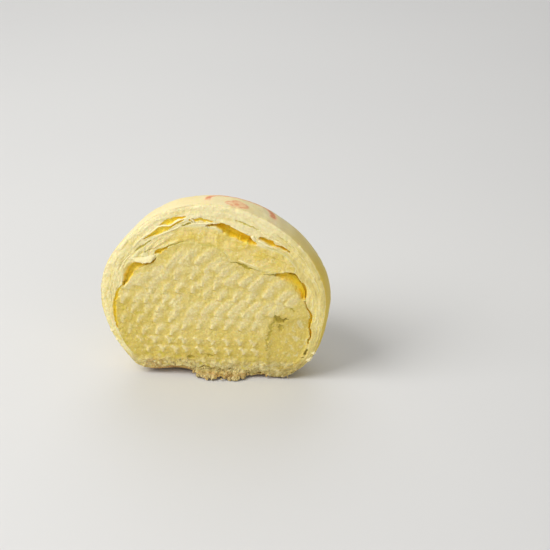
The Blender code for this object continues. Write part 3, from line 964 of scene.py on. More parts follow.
# Slanting marks that the knife's waves left. A broad one is a shingle: a steep
# flank on its upper left and a slope that runs out to its lower right. Each:
# x and z of the low end, x and z of the high end.
BROAD = [
    (-15.0, 36.9, -9.6, 42.6), (-10.9, 38.2, -6.2, 43.4), (-6.2, 38.5, -0.8, 43.4),
    (-3.5, 35.9, 1.6, 40.4), (-20.9, 29.8, -16.4, 34.8), (-28.2, 29.5, -22.8, 34.6),
    (1.2, 34.4, 4.2, 38.2), (2.5, 31.9, 7.3, 36.1), (7.1, 31.7, 11.6, 35.8),
    (9.9, 30.2, 14.8, 35.2), (14.2, 28.0, 19.4, 33.7),
    (-9.3, 20.8, -5.0, 25.6), (-4.9, 21.3, 0.0, 26.3), (-0.6, 21.2, 4.2, 26.3),
    (3.5, 21.0, 8.8, 26.9), (7.9, 21.0, 13.2, 26.4), (11.8, 21.2, 16.8, 26.0),
    (-16.8, 33.3, -13.9, 37.2), (-25.6, 24.9, -22.6, 28.6), (-14.6, 24.0, -10.6, 27.6),
    (-24.6, 30.8, -20.2, 35.2), (-19.9, 33.6, -16.0, 37.9), (-0.4, 36.4, 3.4, 39.6),
    (18.0, 26.0, 22.4, 30.6), (15.9, 21.9, 20.2, 26.0), (21.4, 25.4, 24.6, 29.2),
]
# A narrow one is a bright little tip with a faint tail, over a notch.
NARROW = [
    (-12.5, 33.1, -10.9, 36.8), (-7.6, 33.4, -5.9, 37.1), (-4.4, 31.2, -2.8, 34.6),
    (-29.4, 24.6, -27.8, 27.8), (-22.0, 24.9, -20.7, 27.9), (-19.5, 25.0, -18.2, 27.8),
    (-16.2, 28.3, -14.6, 31.4), (-12.2, 28.9, -10.4, 32.0), (-7.6, 28.9, -5.8, 31.8),
    (-18.4, 22.0, -16.6, 24.6),
    (-10.6, 16.3, -8.3, 20.2), (-6.1, 16.6, -3.8, 20.4), (-1.8, 16.8, 0.5, 20.6),
    (2.5, 16.7, 4.8, 20.5), (7.0, 16.6, 9.3, 20.2), (10.9, 16.8, 13.0, 20.2),
    (-19.6, 18.4, -17.6, 21.6), (-14.9, 18.6, -12.6, 21.8), (-29.4, 17.9, -28.2, 20.6),
    (-24.6, 18.2, -22.8, 20.8),
    (-0.6, 30.2, 1.2, 33.4), (-3.8, 26.9, -2.0, 29.8), (0.8, 26.6, 2.8, 29.6),
    (5.2, 26.4, 7.2, 29.4), (9.6, 26.2, 11.6, 29.2), (-20.6, 28.2, -19.0, 31.0),
    (-26.4, 21.4, -24.8, 24.2), (-22.2, 21.4, -20.6, 24.2), (-13.2, 20.9, -11.4, 24.0),
    (-16.4, 24.8, -14.8, 27.6), (-27.6, 14.4, -26.0, 17.0), (-23.2, 14.2, -21.4, 17.0),
    (-18.9, 14.4, -17.0, 17.2), (-14.6, 14.2, -12.8, 17.2),
]
# A dash slants the other way, from its upper left to its lower right.
DASHES = [(x, z) for z, row in (
    (12.1, (-24.2, -19.9, -15.3, -10.9, -6.5, -2.0, 2.2, 6.4, 10.6)),
    (9.0, (-22.0, -17.6, -13.6, -10.3, -5.8, -1.3, 3.0, 7.6, 11.6)),
) for x in row]
SHADED = [
    (3.8, 29.4), (8.1, 29.1), (12.0, 28.2), (-1.0, 28.4), (-17.6, 30.6),
    (-12.2, 31.0), (-8.4, 31.6), (-3.4, 27.0), (-22.4, 22.6), (-14.0, 20.6),
]
rng = np.random.default_rng(2024)
p3 = xz(px, pz)
warp_x = px + 0.22 * fractal(p3, 3.4, 149, 2) + 0.10 * fractal(p3, 0.9, 153, 2)
warp_z = pz + 0.22 * fractal(p3, 3.4, 151, 2) + 0.10 * fractal(p3, 0.9, 155, 2)
ridges = np.zeros(len(px))
# Painted highlight along the lit flank of each knife mark.
stripe_highlight = np.zeros(len(px))
notches = np.zeros(len(px))


def mark_frame(x0, z0, x1, z1):
    length = math.hypot(x1 - x0, z1 - z0)
    ux, uz = (x1 - x0) / length, (z1 - z0) / length
    dx, dz = warp_x - x0, warp_z - z0
    a = dx * ux + dz * uz
    bow = 0.35 * np.sin(np.clip(a / length, 0.0, 1.0) * math.pi)
    return length, a, -dx * uz + dz * ux - bow, dx, dz


for mark in BROAD:
    length, a, b, dx, dz = mark_frame(*mark)
    tall = 0.33 * (1.0 + rng.normal(0.0, 0.18))
    flank = np.where(b > 0, np.exp(-((b / 0.85) ** 2)), np.exp(-(np.abs(b / 2.10) ** 1.5)))
    round_end = smooth((a + 0.75 - 0.42 * np.abs(b)) / 1.10)
    taper = 0.45 + 0.55 * np.clip(1.0 - a / (1.2 * length), 0.0, 1.0)
    away = smooth((1.20 * length + 1.6 - a) / 5.2)
    ridges = np.maximum(ridges, tall * flank * round_end * taper * away)
    across = np.where(b > -0.3, np.exp(-(((b + 0.3) / 1.05) ** 2)), np.exp(-(np.abs((b + 0.3) / 1.65) ** 2)))
    stripe_highlight = np.maximum(stripe_highlight, across * round_end * away * (0.72 + 0.28 * taper))
    foot = np.exp(-(((a + 0.85) / 0.45) ** 2) - (((b + 0.75) / 1.1) ** 2))
    notches = np.maximum(notches, 0.22 * foot)
for mark in NARROW:
    length, a, b, dx, dz = mark_frame(*mark)
    tall = 0.34 * (1.0 + rng.normal(0.0, 0.18))
    length *= 1.45
    wide = 0.42 + 0.85 * smooth(a / 3.2)
    flank = np.where(b > 0, np.exp(-((b / wide) ** 2)), np.exp(-(np.abs(b / (wide + 0.85)) ** 1.6)))
    tail = 0.48 + 0.52 * np.exp(-((np.clip(a - 0.35, 0.0, 9.0) / 0.85) ** 2))
    away = smooth((length + 0.8 - a) / 3.4)
    ridges = np.maximum(ridges, tall * flank * tail * away * smooth((a + 0.5) / 0.5))
    across = np.exp(-(((b + 0.15) / (0.55 + 0.95 * smooth(a / 3.0))) ** 2))
    stripe_highlight = np.maximum(stripe_highlight, across * (0.60 + 0.40 * tail) * away * smooth((a + 0.6) / 0.5))
    bar = np.exp(-(((dz + 0.70) / 0.34) ** 2) - ((dx / 0.85) ** 2))
    stem = np.exp(-(((dz + 1.5) / 0.75) ** 2) - (((dx - 0.35) / 0.50) ** 2))
    hollow_side = np.exp(-(((dx - 1.9) / 1.15) ** 2) - (((dz + 0.1) / 1.2) ** 2))
    notches = np.maximum(notches, 0.22 * np.maximum(bar, 0.75 * stem))
    notches = np.maximum(notches, 0.20 * hollow_side)
for x0, z0 in DASHES:
    x0, z0 = x0 + rng.normal(0.0, 0.15), z0 + rng.normal(0.0, 0.15)
    length, a, b, dx, dz = mark_frame(x0 - 0.8, z0 + 1.2, x0 + 0.7, z0 - 1.0)
    dash = smooth((a + 0.3) / 0.5) * smooth((length + 0.3 - a) / 0.6)
    ridges = np.maximum(ridges, 0.34 * dash * np.exp(-((b / 0.55) ** 2)))
    stripe_highlight = np.maximum(stripe_highlight, 0.95 * dash * np.exp(-((b / 0.62) ** 2)))
    length, a, b, dx, dz = mark_frame(x0 + 0.5, z0 - 0.7, x0 + 2.0, z0 + 1.0)
    dash = smooth((a + 0.2) / 0.4) * smooth((length + 0.2 - a) / 1.6)
    ridges = np.maximum(ridges, 0.24 * dash * np.exp(-((b / 0.60) ** 2)))
    stripe_highlight = np.maximum(stripe_highlight, 0.65 * dash * np.exp(-((b / 0.75) ** 2)))
    dx, dz = warp_x - x0, warp_z - z0
    notch = np.exp(-(((dx - 2.0) / 1.0) ** 2) - (((dz + 1.9) / 0.8) ** 2))
    notches = np.maximum(notches, 0.22 * notch)
for x0, z0 in SHADED:
    dip = np.exp(-(((warp_x - x0) / 1.5) ** 2) - (((warp_z - z0) / 1.0) ** 2))
    notches = np.maximum(notches, 0.26 * dip)

left_crumbly = smooth((-17.0 - px + 3.0 * fractal(p3, 9.0, 157, 2)) / 6.0)
left_crumbly *= smooth((27.0 - pz) / 6.0)
right_smooth = smooth((px - 15.8 - 0.10 * (pz - 15.0)) / 1.6) * smooth((22.0 - pz) / 4.0)
low_crumbly = smooth((7.4 + 2.0 * fractal(p3, 6.0, 163, 2) - pz) / 3.0)
texture = (
    0.095 * fractal(p3, 0.62, 167, 3, 0.70)
    + 0.08 * fractal(p3, 2.1, 173, 3)
    + (0.05 + 0.22 * left_crumbly + 0.50 * low_crumbly) * fractal(p3, 1.5, 179, 3, 0.62)
    + 0.40 * low_crumbly * fractal(p3, 3.2, 185, 2)
    + 0.12 * fractal(p3, 8.0, 181, 2)
)
ridge_relief = (ridges - notches) * (1.0 - 0.35 * left_crumbly) * (1.0 - 0.7 * low_crumbly)
paste_relief = texture + ridge_relief - 0.42 * right_smooth
gap_depth, gap_painted_glow, gap_shade_and_mottle, gap_painted_shade = carved(px, pz, ("right_amber",))
paste_relief = paste_relief * np.maximum(low_crumbly, smooth(inward / 1.1)) + shared(px, pz)
paste_y = 0.14 - paste_relief + gap_depth

level = blurred(paste_relief, PASTE_N + 1, 26)
near_level = blurred(paste_relief, PASTE_N + 1, 2)
# Painted shade in the hollows, from the blurred relief.
hollow_shade = np.clip((level - near_level) / 0.20, 0.0, 1.0)
# Painted highlight on the raised bits, from the blurred relief.
proud_highlight = np.clip((near_level - level) / 0.24, 0.0, 1.0)
white = low_crumbly * smooth((0.55 + fractal(p3, 3.0, 191, 3)) / 0.9) * 0.9
near_pit = smooth((px - 19.5) / 3.0) * smooth((24.0 - pz) / 3.0) * smooth((pz - 5.0) / 4.0)
white = np.maximum(white, 0.9 * near_pit * smooth((fractal(p3, 2.2, 195, 3, 0.6) - 0.02) / 0.30))
# Less painted highlight where the paste is crumbly.
stripe_highlight = stripe_highlight * (1.0 - 0.3 * left_crumbly) * (1.0 - 0.75 * low_crumbly)
plain = np.maximum(smooth((19.0 - pz) / 13.0), smooth((-16.0 - px) / 9.0) * smooth((30.0 - pz) / 6.0))
plain = np.maximum(plain, 0.9 * smooth((px - 14.0) / 5.0) * smooth((26.0 - pz) / 7.0))
plain = plain * (1.0 - 0.5 * stripe_highlight)
mottled = np.maximum(left_crumbly, smooth((15.0 - pz) / 8.0))
patchy = smooth((fractal(p3, 2.3, 601, 3, 0.6) - 0.10) / 0.28)
# Random greenish-yellow patches, the paste's own colour, kept off the painted highlight stripes.
gap_shade_and_mottle = np.maximum(gap_shade_and_mottle, 0.78 * mottled * patchy * (1.0 - 0.7 * stripe_highlight))
gap_shade_and_mottle = np.maximum(gap_shade_and_mottle, 0.30 * patchy * (1.0 - 0.85 * stripe_highlight))
toasted = smooth((6.6 + 1.6 * fractal(p3, 2.4, 193, 3) - pz) / 2.2)
toasted *= smooth((px + 24.5) / 2.0) * smooth((-15.0 - px) / 3.0)
toasted *= smooth((fractal(p3, 2.2, 197, 3, 0.6) + 0.50) / 0.45)

paste_front = np.column_stack([px, paste_y, pz])
edge_xz = np.column_stack([px[edge], pz[edge]])
rings, tip = dome_rings(edge_xz, 30.0, 14, 4.8)
room = np.concatenate(rings + [tip])
points = np.concatenate([paste_front, room])
faces = grid_faces(PASTE_N + 1, PASTE_N + 1, 0)
last = edge
for k in range(len(rings)):
    this = len(paste_front) + k * len(edge) + np.arange(len(edge))
    faces += ring_faces(last.tolist(), this.tolist(), flip=True)
    last = this
apex = len(points) - 1
faces += [(int(last[(i + 1) % len(last)]), int(last[i]), apex) for i in range(len(last))]
pad = np.zeros(len(room))
paste = make_mesh(
    "bean_paste",
    points,
    faces,
    {
        "hollow_shade": np.concatenate([hollow_shade, pad]),
        "proud_highlight": np.concatenate([proud_highlight, pad]),
        "white": np.concatenate([white, pad]),
        "stripe_highlight": np.concatenate([stripe_highlight, pad]),
        "plain": np.concatenate([plain, pad]),
        "foot": np.concatenate([foot_shade(px, pz) * (1.0 - 0.7 * toasted), pad]),
        "painted_glow": np.concatenate([gap_painted_glow, pad]),
        "shade_and_mottle": np.concatenate([gap_shade_and_mottle, pad]),
        "painted_shade": np.concatenate([gap_painted_shade, pad]),
        "brown": np.concatenate([0.56 * toasted, pad]),
    },
    [beany.material],
    crease=edge,
)

# ------------------------------------------------------------ the inner dough
COLS, ROWS_D = 330, 34
t = np.linspace(0.0, 1.0, COLS)
dough_ang = DOUGH_LEFT + (DOUGH_RIGHT - DOUGH_LEFT) * t
inner_r = paste_edge(dough_ang)
outer_r = core_radius(dough_ang)
v = np.linspace(0.0, 1.0, ROWS_D)[:, None]
dr = inner_r + (outer_r - inner_r) * v
dx = (CENTRE[0] + dr * np.cos(dough_ang)).ravel()
dz = (CENTRE[1] + dr * np.sin(dough_ang)).ravel()
thick = np.tile(outer_r - inner_r, (ROWS_D, 1)).ravel()
from_in = (np.tile(v, (1, COLS)).ravel()) * thick
from_out = thick - from_in
p3 = xz(dx, dz)
d_arc = np.tile(t * 62.0, (ROWS_D, 1)).ravel()
layered = smooth((-9.5 - dx) / 5.0)
fold = 0.5 * fractal(p3, 6.0, 197, 2)
lines = grain(np.column_stack([d_arc / 8.0, (from_out + fold) / 0.66, pad[:1].repeat(len(dx))]), 199)
lines2 = grain(np.column_stack([d_arc / 5.0, (from_out + fold) / 0.36, pad[:1].repeat(len(dx))]), 203)
dough_relief = (
    0.20 * fractal(p3, 5.0, 207, 2)
    + 0.20 * fractal(p3, 1.6, 209, 3)
    + 0.12 * fractal(p3, 0.7, 211, 3, 0.65)
    + 0.06 * lines * (1 - layered)
    + layered * (0.20 * lines + 0.09 * lines2)
)
gap_depth, gap_painted_glow, gap_shade_and_mottle, gap_painted_shade = carved(dx, dz)
dough_relief = dough_relief * smooth(np.minimum(from_in, from_out) / 0.8) + shared(dx, dz)
dough_y = 0.14 - dough_relief + gap_depth
front = np.column_stack([dx, dough_y, dz])
edge = np.concatenate([
    np.arange(COLS),
    np.arange(1, ROWS_D) * COLS + COLS - 1,
    (ROWS_D - 1) * COLS + np.arange(COLS - 2, -1, -1),
    np.arange(ROWS_D - 2, 0, -1) * COLS,
])
steps = 12
d = np.column_stack([dx[edge], dz[edge]]) - CENTRE
r = np.hypot(d[:, 0], d[:, 1])
rings = []
for k in range(1, steps + 1):
    b = (k / steps) * math.radians(62.0)
    in_plane = CENTRE + d * math.cos(b)
    rings.append(np.column_stack([in_plane[:, 0], np.maximum(math.sin(b) * r, 4.8), in_plane[:, 1]]))
back = rings[-1]
room = np.concatenate(rings)
points = np.concatenate([front, room])
faces = grid_faces(ROWS_D, COLS, 0)
last = edge
for k in range(len(rings)):
    this = len(front) + k * len(edge) + np.arange(len(edge))
    faces += ring_faces(last.tolist(), this.tolist(), flip=True)
    last = this
# Close the back as a strip between its inner and outer edges.
inner_ids = last[:COLS]
outer_ids = last[COLS + ROWS_D - 2: COLS + ROWS_D - 2 + COLS][::-1]
for i in range(COLS - 1):
    faces.append((int(inner_ids[i]), int(outer_ids[i]), int(outer_ids[i + 1]), int(inner_ids[i + 1])))
pad = np.zeros(len(room))
tone = np.clip(0.15 + layered * (0.55 + 0.45 * lines) + 0.6 * np.exp(-((from_out / 0.5) ** 2)), 0, 1)
dough = make_mesh(
    "soft_dough",
    points,
    faces,
    {
        "tone": np.concatenate([tone, pad]),
        "shade_and_mottle": np.concatenate([gap_shade_and_mottle, pad]),
        "painted_glow": np.concatenate([gap_painted_glow, pad]),
        "painted_shade": np.concatenate([gap_painted_shade, pad]),
        "brown": np.concatenate([np.zeros(len(front)), pad]),
    },
    [waxy.material],
    crease=edge,
)

# --------------------------------------------------------------- thin sheets
sheet_points, sheet_faces, sheet_tone, sheet_pale = [], [], [], []


def add_sheet(path, thickness, y_front, y_back, seed, ragged=0.20, tone=0.75, pale=0.0, taper=3.0):
    """A thin torn layer that follows a path in the cut plane and runs back."""
    path = np.array(path, float)
    seg = np.hypot(*np.diff(path, axis=0).T)
    total = seg.sum()
    n = max(8, int(total / 0.22))
    at = np.linspace(0.0, total, n)
    cum = np.concatenate([[0.0], np.cumsum(seg)])
    x = np.interp(at, cum, path[:, 0])
    z = np.interp(at, cum, path[:, 1])
    tx, tz = np.gradient(x), np.gradient(z)
    norm = np.hypot(tx, tz) + 1e-9
    nx, nz = -tz / norm, tx / norm
    key = np.column_stack([at, np.full(n, seed * 3.7), np.zeros(n)])
    edge_y = y_front + ragged * fractal(key, 2.2, seed, 3, 0.6)
    fade = smooth(np.minimum(at, total - at) / taper)
    edge_y = edge_y + (1.0 - fade) * 1.1
    wave = 0.16 * fractal(key, 3.0, seed + 5, 2)
    half = thickness / 2 * (0.45 + 0.55 * fade) * (1.0 + 0.3 * fractal(key, 1.5, seed + 9, 2))
    ts = [0.0, 0.10, 0.35, 1.0, 2.2]
    rows = []
    base = sum(len(p) for p in sheet_points)
    for side in (1.0, -1.0):
        seq = ts if side > 0 else ts[::-1]
        for q in seq:
            y = np.minimum(edge_y + q * (y_back - y_front) / 2.2, y_back)
            h = half * (0.25 if q == 0.0 else 0.75 if q == 0.10 else 1.0)
            drift = wave * min(q, 1.0) + 0.10 * q
            rows.append(np.column_stack([x + nx * (side * h + drift), y, z + nz * (side * h + drift)]))
    m = len(rows)
    sheet_points.append(np.concatenate(rows))
    for i in range(m):
        j = (i + 1) % m
        for k in range(n - 1):
            sheet_faces.append((base + i * n + k, base + i * n + k + 1, base + j * n + k + 1, base + j * n + k))
    for end, order_ in ((0, range(m)), (n - 1, range(m - 1, -1, -1))):
        sheet_faces.append(tuple(base + i * n + end for i in order_))
    tones = tone + 0.2 * fractal(np.column_stack([np.tile(at, m), np.full(n * m, seed * 1.3), np.zeros(n * m)]), 4.0, seed + 3, 2)
    sheet_tone.append(tones)
    sheet_pale.append(np.full(n * m, pale))


def rim_path(a0, a1, inset, seed, swing=0.35):
    """A path that keeps its distance from the outline between two angles."""
    n = 60
    a = np.radians(np.linspace(a0, a1, n))
    order_ = np.argsort(rim_angle)
    xs = np.interp(a, rim_angle[order_], rim_xz[order_, 0], period=2 * math.pi)
    zs = np.interp(a, rim_angle[order_], rim_xz[order_, 1], period=2 * math.pi)
    key = np.column_stack([np.linspace(0, 20, n), np.full(n, seed * 2.1), np.zeros(n)])
    off = inset + swing * fractal(key, 5.0, seed, 2)
    return np.column_stack([xs - np.cos(a) * off, zs - np.sin(a) * off])


# The wavy sheet across the upper left gap, and the ones round it.
add_sheet(spline([(-22.9, 45.7), (-20.2, 47.5), (-18.6, 48.7), (-17.1, 50.0), (-15.3, 50.4), (-13.6, 50.5), (-12.1, 51.5), (-10.8, 52.3), (-9.1, 52.9), (-8.0, 53.5)]), 0.38, -0.10, 1.4, 401, tone=1.0, pale=0.7)
add_sheet(spline([(-8.6, 53.6), (-7.2, 52.9), (-6.3, 51.9), (-6.2, 50.8)]), 0.44, -0.16, 1.2, 409, tone=1.0, pale=0.9, taper=1.2)
add_sheet(spline([(-9.2, 51.9), (-7.9, 52.1), (-6.4, 51.4), (-2.4, 51.55), (0.6, 51.4)]), 0.36, -0.02, 1.2, 419, tone=1.0, pale=0.8)
add_sheet(spline([(-20.4, 45.5), (-17.0, 47.3), (-13.5, 48.9), (-10.6, 50.3), (-8.6, 51.0)]), 0.40, -0.04, 1.2, 421, tone=0.95, pale=0.5)
add_sheet(spline([(10.6, 48.6), (11.2, 47.6), (11.7, 46.8), (12.4, 45.8)]), 1.00, -0.05, 1.2, 431, tone=1.0, pale=0.7, taper=1.0)
add_sheet(spline([(12.0, 46.9), (13.8, 45.9), (16.0, 44.9), (18.2, 44.0)]), 0.50, -0.02, 1.0, 433, tone=1.0, pale=0.5, taper=1.4)
add_sheet(spline([(3.6, 51.6), (6.2, 50.3), (8.4, 49.2), (10.6, 48.3)]), 0.42, -0.06, 1.2, 439, tone=0.95, pale=0.7, taper=1.5)
add_sheet(spline([(12.6, 50.8), (14.2, 48.8), (17.2, 47.0), (20.4, 45.2), (23.0, 42.8)]), 0.34, -0.02, 1.0, 443, tone=0.9, pale=0.4)
add_sheet(spline([(4.8, 41.0), (6.8, 40.0), (8.9, 39.2), (11.6, 38.2), (14.6, 37.2)]), 0.32, 0.04, 1.0, 449, tone=0.8)
# Layers that keep to the outline.
for i, (a0, a1, inset) in enumerate([
    (186, 148, 3.0), (164, 138, 4.3), (52, 4, 1.9),
]):
    add_sheet(rim_path(a0, a1, inset, 500 + i), 0.24, 0.06, 1.2, 520 + 7 * i, ragged=0.16, tone=0.72, taper=5.0)

# A small flake peeled down over the left gap.
def add_flake(top, low_, thickness, seed, n=46, m=12, torn=0.32):
    """A torn bit of a layer between its upper and lower edge, given as rows of
    x, y and z from left to right."""

    def even(rows):
        p_ = np.array(rows, float)
        cum = np.concatenate([[0.0], np.cumsum(np.linalg.norm(np.diff(p_, axis=0), axis=1))])
        at_ = np.linspace(0.0, cum[-1], n)
        return np.column_stack([np.interp(at_, cum, p_[:, k]) for k in range(3)]), cum[-1]

    upper, _ = even(top)
    lower, reach = even(low_)
    edge_key = np.column_stack([np.linspace(0, reach, n), np.full(n, seed * 1.7), np.zeros(n)])
    lower[:, 2] += torn * fractal(edge_key, 1.3, seed, 4, 0.7)
    lower[:, 0] += 0.6 * torn * fractal(edge_key, 1.1, seed + 1, 3, 0.7)
    base = sum(len(p_) for p_ in sheet_points)
    w = np.repeat(np.linspace(0, 1, m), n)
    u = np.tile(np.linspace(0, 1, n), m)
    p = np.tile(upper, (m, 1)) * (1 - w)[:, None] + np.tile(lower, (m, 1)) * w[:, None]
    key = np.column_stack([u * reach, w * 2.5, np.full(len(u), seed * 1.7)])
    p[:, 1] += (0.25 * w) * fractal(key, 2.0, seed + 2, 3) - 0.10 * np.sin(w * math.pi)
    q = p.copy()
    q[:, 1] += thickness * (0.35 + 0.65 * smooth((1 - w) / 0.5) * smooth(np.minimum(u, 1 - u) / 0.15))
    sheet_points.append(np.concatenate([p, q]))
    sheet_faces.extend(grid_faces(m, n, base, flip=True))
    sheet_faces.extend(grid_faces(m, n, base + n * m))
    loop_ = list(range(n)) + [k * n + n - 1 for k in range(1, m)]
    loop_ += [(m - 1) * n + k for k in range(n - 2, -1, -1)] + [k * n for k in range(m - 2, 0, -1)]
    for i in range(len(loop_)):
        s, t_ = loop_[i], loop_[(i + 1) % len(loop_)]
        sheet_faces.append((base + s, base + t_, base + n * m + t_, base + n * m + s))
    sheet_tone.append(0.80 + 0.5 * fractal(np.concatenate([key, key]), 0.9, seed + 4, 3))
    sheet_pale.append(np.clip(0.35 + 0.9 * fractal(np.concatenate([key, key]), 1.4, seed + 6, 3), 0.0, 1.0))


add_flake(
    [(-26.2, 0.12, 39.4), (-25.0, 0.10, 39.8), (-23.5, 0.08, 39.6), (-21.4, 0.08, 40.0),
     (-19.6, 0.08, 40.8), (-18.4, 0.12, 40.8)],
    [(-26.4, 0.10, 39.2), (-25.2, -0.05, 39.0), (-24.2, -0.20, 38.3), (-22.9, -0.30, 38.3),
     (-22.2, -0.30, 38.0), (-20.8, -0.35, 38.3), (-20.0, -0.35, 38.2), (-19.2, -0.25, 39.2),
     (-18.5, 0.0, 40.4)],
    0.30, 601, torn=0.55)
right_rim = rim_xz[(rim_xz[:, 0] > 0) & (rim_xz[:, 1] < 26.0)]
right_rim = right_rim[np.argsort(right_rim[:, 1])]
left_rim = rim_xz[(rim_xz[:, 0] < 0) & (rim_xz[:, 1] < 26.0)]
left_rim = left_rim[np.argsort(left_rim[:, 1])]
# Little flakes that hang from the rim: side, height, length, how far they stand out.
for i, (right_hand, z0, z1, out_) in enumerate((
    (True, 8.0, 6.6, 0.75), (True, 9.9, 9.1, 0.65),
    (False, 15.0, 14.2, 0.45), (False, 11.8, 11.2, 0.35),
)):
    rim_side, sign = (right_rim, 1.0) if right_hand else (left_rim, -1.0)
    xa, xb = [float(np.interp(z, rim_side[:, 1], rim_side[:, 0])) for z in (z0, z1)]
    rows = [
        [(xa - sign * 0.9, 0.25, z0), (xa - sign * 0.1, 0.20, z0 + 0.2), (xa + sign * 0.6 * out_, 0.5, z0 - 0.1)],
        [(xb - sign * 0.7, 0.10, z1 + 0.3), (xb + sign * 0.3 * out_, -0.05, z1), (xb + sign * out_, 0.3, z1 + 0.2)],
    ]
    if not right_hand:
        rows = [r_[::-1] for r_ in rows]
    add_flake(rows[0], rows[1], 0.30, 607 + 7 * i, 14, 8, 0.25)

sheets = make_mesh(
    "loose_layers",
    np.concatenate(sheet_points),
    sheet_faces,
    {
        "tone": np.concatenate(sheet_tone),
        "pale": np.concatenate(sheet_pale),
        "painted_glow": np.zeros(sum(len(p) for p in sheet_points)),
        "painted_shade": np.zeros(sum(len(p) for p in sheet_points)),
        "brown": np.zeros(sum(len(p) for p in sheet_points)),
    },
    [leafy.material],
)

# --------------------------------------------------------------------- crumbs
def ball(levels):
    """A unit ball of triangles as points and faces."""
    g = (1 + math.sqrt(5)) / 2
    v = [(-1, g, 0), (1, g, 0), (-1, -g, 0), (1, -g, 0), (0, -1, g), (0, 1, g),
         (0, -1, -g), (0, 1, -g), (g, 0, -1), (g, 0, 1), (-g, 0, -1), (-g, 0, 1)]
    f = [(0, 11, 5), (0, 5, 1), (0, 1, 7), (0, 7, 10), (0, 10, 11), (1, 5, 9),
         (5, 11, 4), (11, 10, 2), (10, 7, 6), (7, 1, 8), (3, 9, 4), (3, 4, 2),
         (3, 2, 6), (3, 6, 8), (3, 8, 9), (4, 9, 5), (2, 4, 11), (6, 2, 10),
         (8, 6, 7), (9, 8, 1)]
    v = [np.array(q, float) / np.linalg.norm(q) for q in v]
    for _ in range(levels):
        made, new = {}, []

        def middle(i, j):
            key = (min(i, j), max(i, j))
            if key not in made:
                q = v[i] + v[j]
                v.append(q / np.linalg.norm(q))
                made[key] = len(v) - 1
            return made[key]

        for a, b, c in f:
            ab, bc, ca = middle(a, b), middle(b, c), middle(c, a)
            new += [(a, ab, ca), (b, bc, ab), (c, ca, bc), (ab, bc, ca)]
        f = new
    return np.array(v), np.array(f)


ball_v, ball_f = ball(2)
crumb_points, crumb_faces, crumb_brown, crumb_dark = [], [], [], []


def add_crumb(x, y, z, size, rng_, brown=0.0):
    axes = size * np.array([1.0, rng_.uniform(0.55, 1.0), rng_.uniform(0.45, 0.9)])
    q = rng_.normal(size=(3, 3))
    q, _ = np.linalg.qr(q)
    q[:, 0] *= np.sign(np.linalg.det(q))
    shift = rng_.uniform(0, 100, 3)
    bump = 1.0 + 0.62 * fractal(ball_v * 1.3 + shift, 1.0, 701, 3, 0.65)
    p = (ball_v * bump[:, None] * axes) @ q.T
    low_z = p[:, 2].min()
    p += np.array([x, y, max(z, -low_z + 0.02) if z < 0.05 else z])
    p[:, 2] = np.maximum(p[:, 2], 0.02)
    base = sum(len(c) for c in crumb_points)
    crumb_points.append(p)
    crumb_faces.append(ball_f + base)
    crumb_brown.append(np.full(len(p), brown))


rng = np.random.default_rng(77)
# Half sunk in the torn lip at the foot of the cut.
for _ in range(44):
    x, z = rng.uniform(-7.2, 8.4), rng.uniform(0.3, 2.8)
    y = 0.1 - float(lip_reach(np.array([x]), np.array([z]))[0])
    size = rng.choice([0.35, 0.55, 0.8], p=[0.50, 0.34, 0.16])
    brown = float(rng.random() < 0.25) * rng.uniform(0.3, 0.7) * (z < 1.8)
    add_crumb(x, max(y + 0.55 * size, -4.9 + size), max(z, 0.5 * size), size, rng, brown)
# Here and there along the torn foot.
for _ in range(64):
    x = rng.uniform(-21.0, 23.0)
    z = float(foot_gap(np.array([x]))[0]) + rng.uniform(0.3, 3.8) * (1.0 if -12 < x < 15 else 0.6)
    size = rng.choice([0.24, 0.36, 0.50], p=[0.50, 0.35, 0.15])
    brown = float(rng.random() < 0.12) * rng.uniform(0.4, 1.0) * (z < 1.6)
    add_crumb(x, rng.uniform(-0.15, 0.30), max(z, size * 0.6), size, rng, brown)
# Browned bits under the left foot and a few strays.
for x, y, z, size in ((-8.9, 0.5, 2.6, 0.6), (-7.6, -0.3, 1.6, 0.6), (9.4, 0.1, 1.2, 0.5)):
    add_crumb(x, y, z, size, rng, brown=0.5)
count = sum(len(c) for c in crumb_points)
crumbs = make_mesh(
    "torn_crumbs",
    np.concatenate(crumb_points),
    np.concatenate(crumb_faces).tolist(),
    {
        "brown": np.concatenate(crumb_brown),
        "painted_glow": np.zeros(count),
        "painted_shade": np.zeros(count),
    },
    [crumbly.material],
)

# ------------------------------------------------------------ ride and replace
for obj, name in (
    (pastry, "flaky_pastry"), (sheets, "flaky_pastry"), (crumbs, "flaky_pastry"),
    (dough, "inner_dough"), (paste, "mung_bean_paste"),
):
    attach(obj, "root")
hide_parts("flaky_pastry")
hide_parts("inner_dough")
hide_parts("mung_bean_paste")

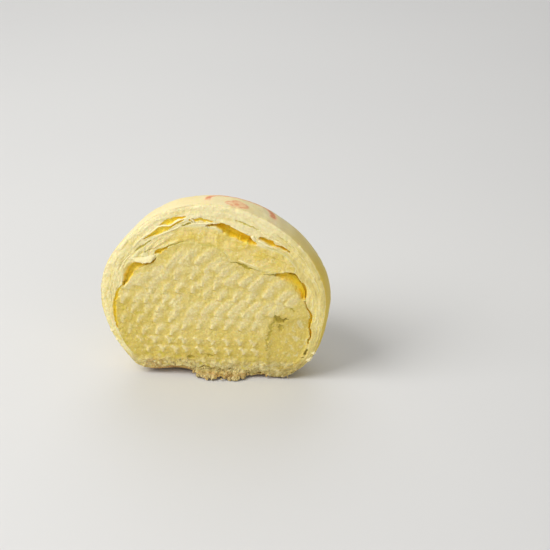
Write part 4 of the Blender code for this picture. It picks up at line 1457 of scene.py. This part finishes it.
# --------------------------------------------------------- floor, light, camera
floor_mesh = bpy.data.meshes.new("floor")
s = 3.0
floor_mesh.from_pydata([(-s, -s, 0), (s, -s, 0), (s, s, 0), (-s, s, 0)], [], [(0, 1, 2, 3)])
floor = bpy.data.objects.new("floor", floor_mesh)
bpy.context.scene.collection.objects.link(floor)
paper = Finish("pale_floor", 0.55)
paper.colour(paper.mix(paper.span(paper.noise(3.0, 2.0), 0.3, 0.7), (0.66, 0.66, 0.655), (0.64, 0.64, 0.64)))
floor_mesh.materials.append(paper.material)


def area_light(name, where, target, size, power, tint=(1.0, 1.0, 1.0)):
    light = bpy.data.lights.new(name, "AREA")
    light.shape = "SQUARE"
    light.size = size
    light.energy = power
    light.color = tint
    obj = bpy.data.objects.new(name, light)
    obj.location = where
    obj.rotation_euler = (Vector(target) - Vector(where)).to_track_quat("-Z", "Y").to_euler()
    bpy.context.scene.collection.objects.link(obj)
    return obj


area_light("key", (-0.52, -0.30, 0.62), (0.0, 0.0, 0.03), 0.60, 7.0, (1.0, 0.985, 0.955))
area_light("fill", (0.45, -0.75, 0.35), (0.0, 0.0, 0.03), 0.60, 1.25)
area_light("back", (-0.10, 0.60, 0.60), (0.0, 0.0, 0.03), 0.70, 2.2)

world = bpy.data.worlds.new("studio")
world.use_nodes = True
world.node_tree.nodes["Background"].inputs["Color"].default_value = (0.97, 0.96, 0.94, 1.0)
world.node_tree.nodes["Background"].inputs["Strength"].default_value = 0.355
bpy.context.scene.world = world
bpy.context.scene.view_settings.view_transform = "Standard"

ELEVATION, TURN = math.radians(25.0), math.radians(5.0)
DISTANCE = 428.9
side = np.array([math.cos(TURN), math.sin(TURN), 0.0])
back = np.array([math.sin(TURN) * math.cos(ELEVATION), -math.cos(TURN) * math.cos(ELEVATION), math.sin(ELEVATION)])
up = np.cross(back, side)
target = 17.78 * side + 31.66 * up
eye = place([target + back * DISTANCE])[0]
aim = place([target])[0]
camera = bpy.data.cameras.new("camera")
camera.lens = 90.0
camera.sensor_width = 36.0
camera_obj = bpy.data.objects.new("camera", camera)
camera_obj.location = eye
camera_obj.rotation_euler = (Vector(aim) - Vector(eye)).to_track_quat("-Z", "Y").to_euler()
bpy.context.scene.collection.objects.link(camera_obj)
bpy.context.scene.camera = camera_obj

bpy.context.view_layer.update()
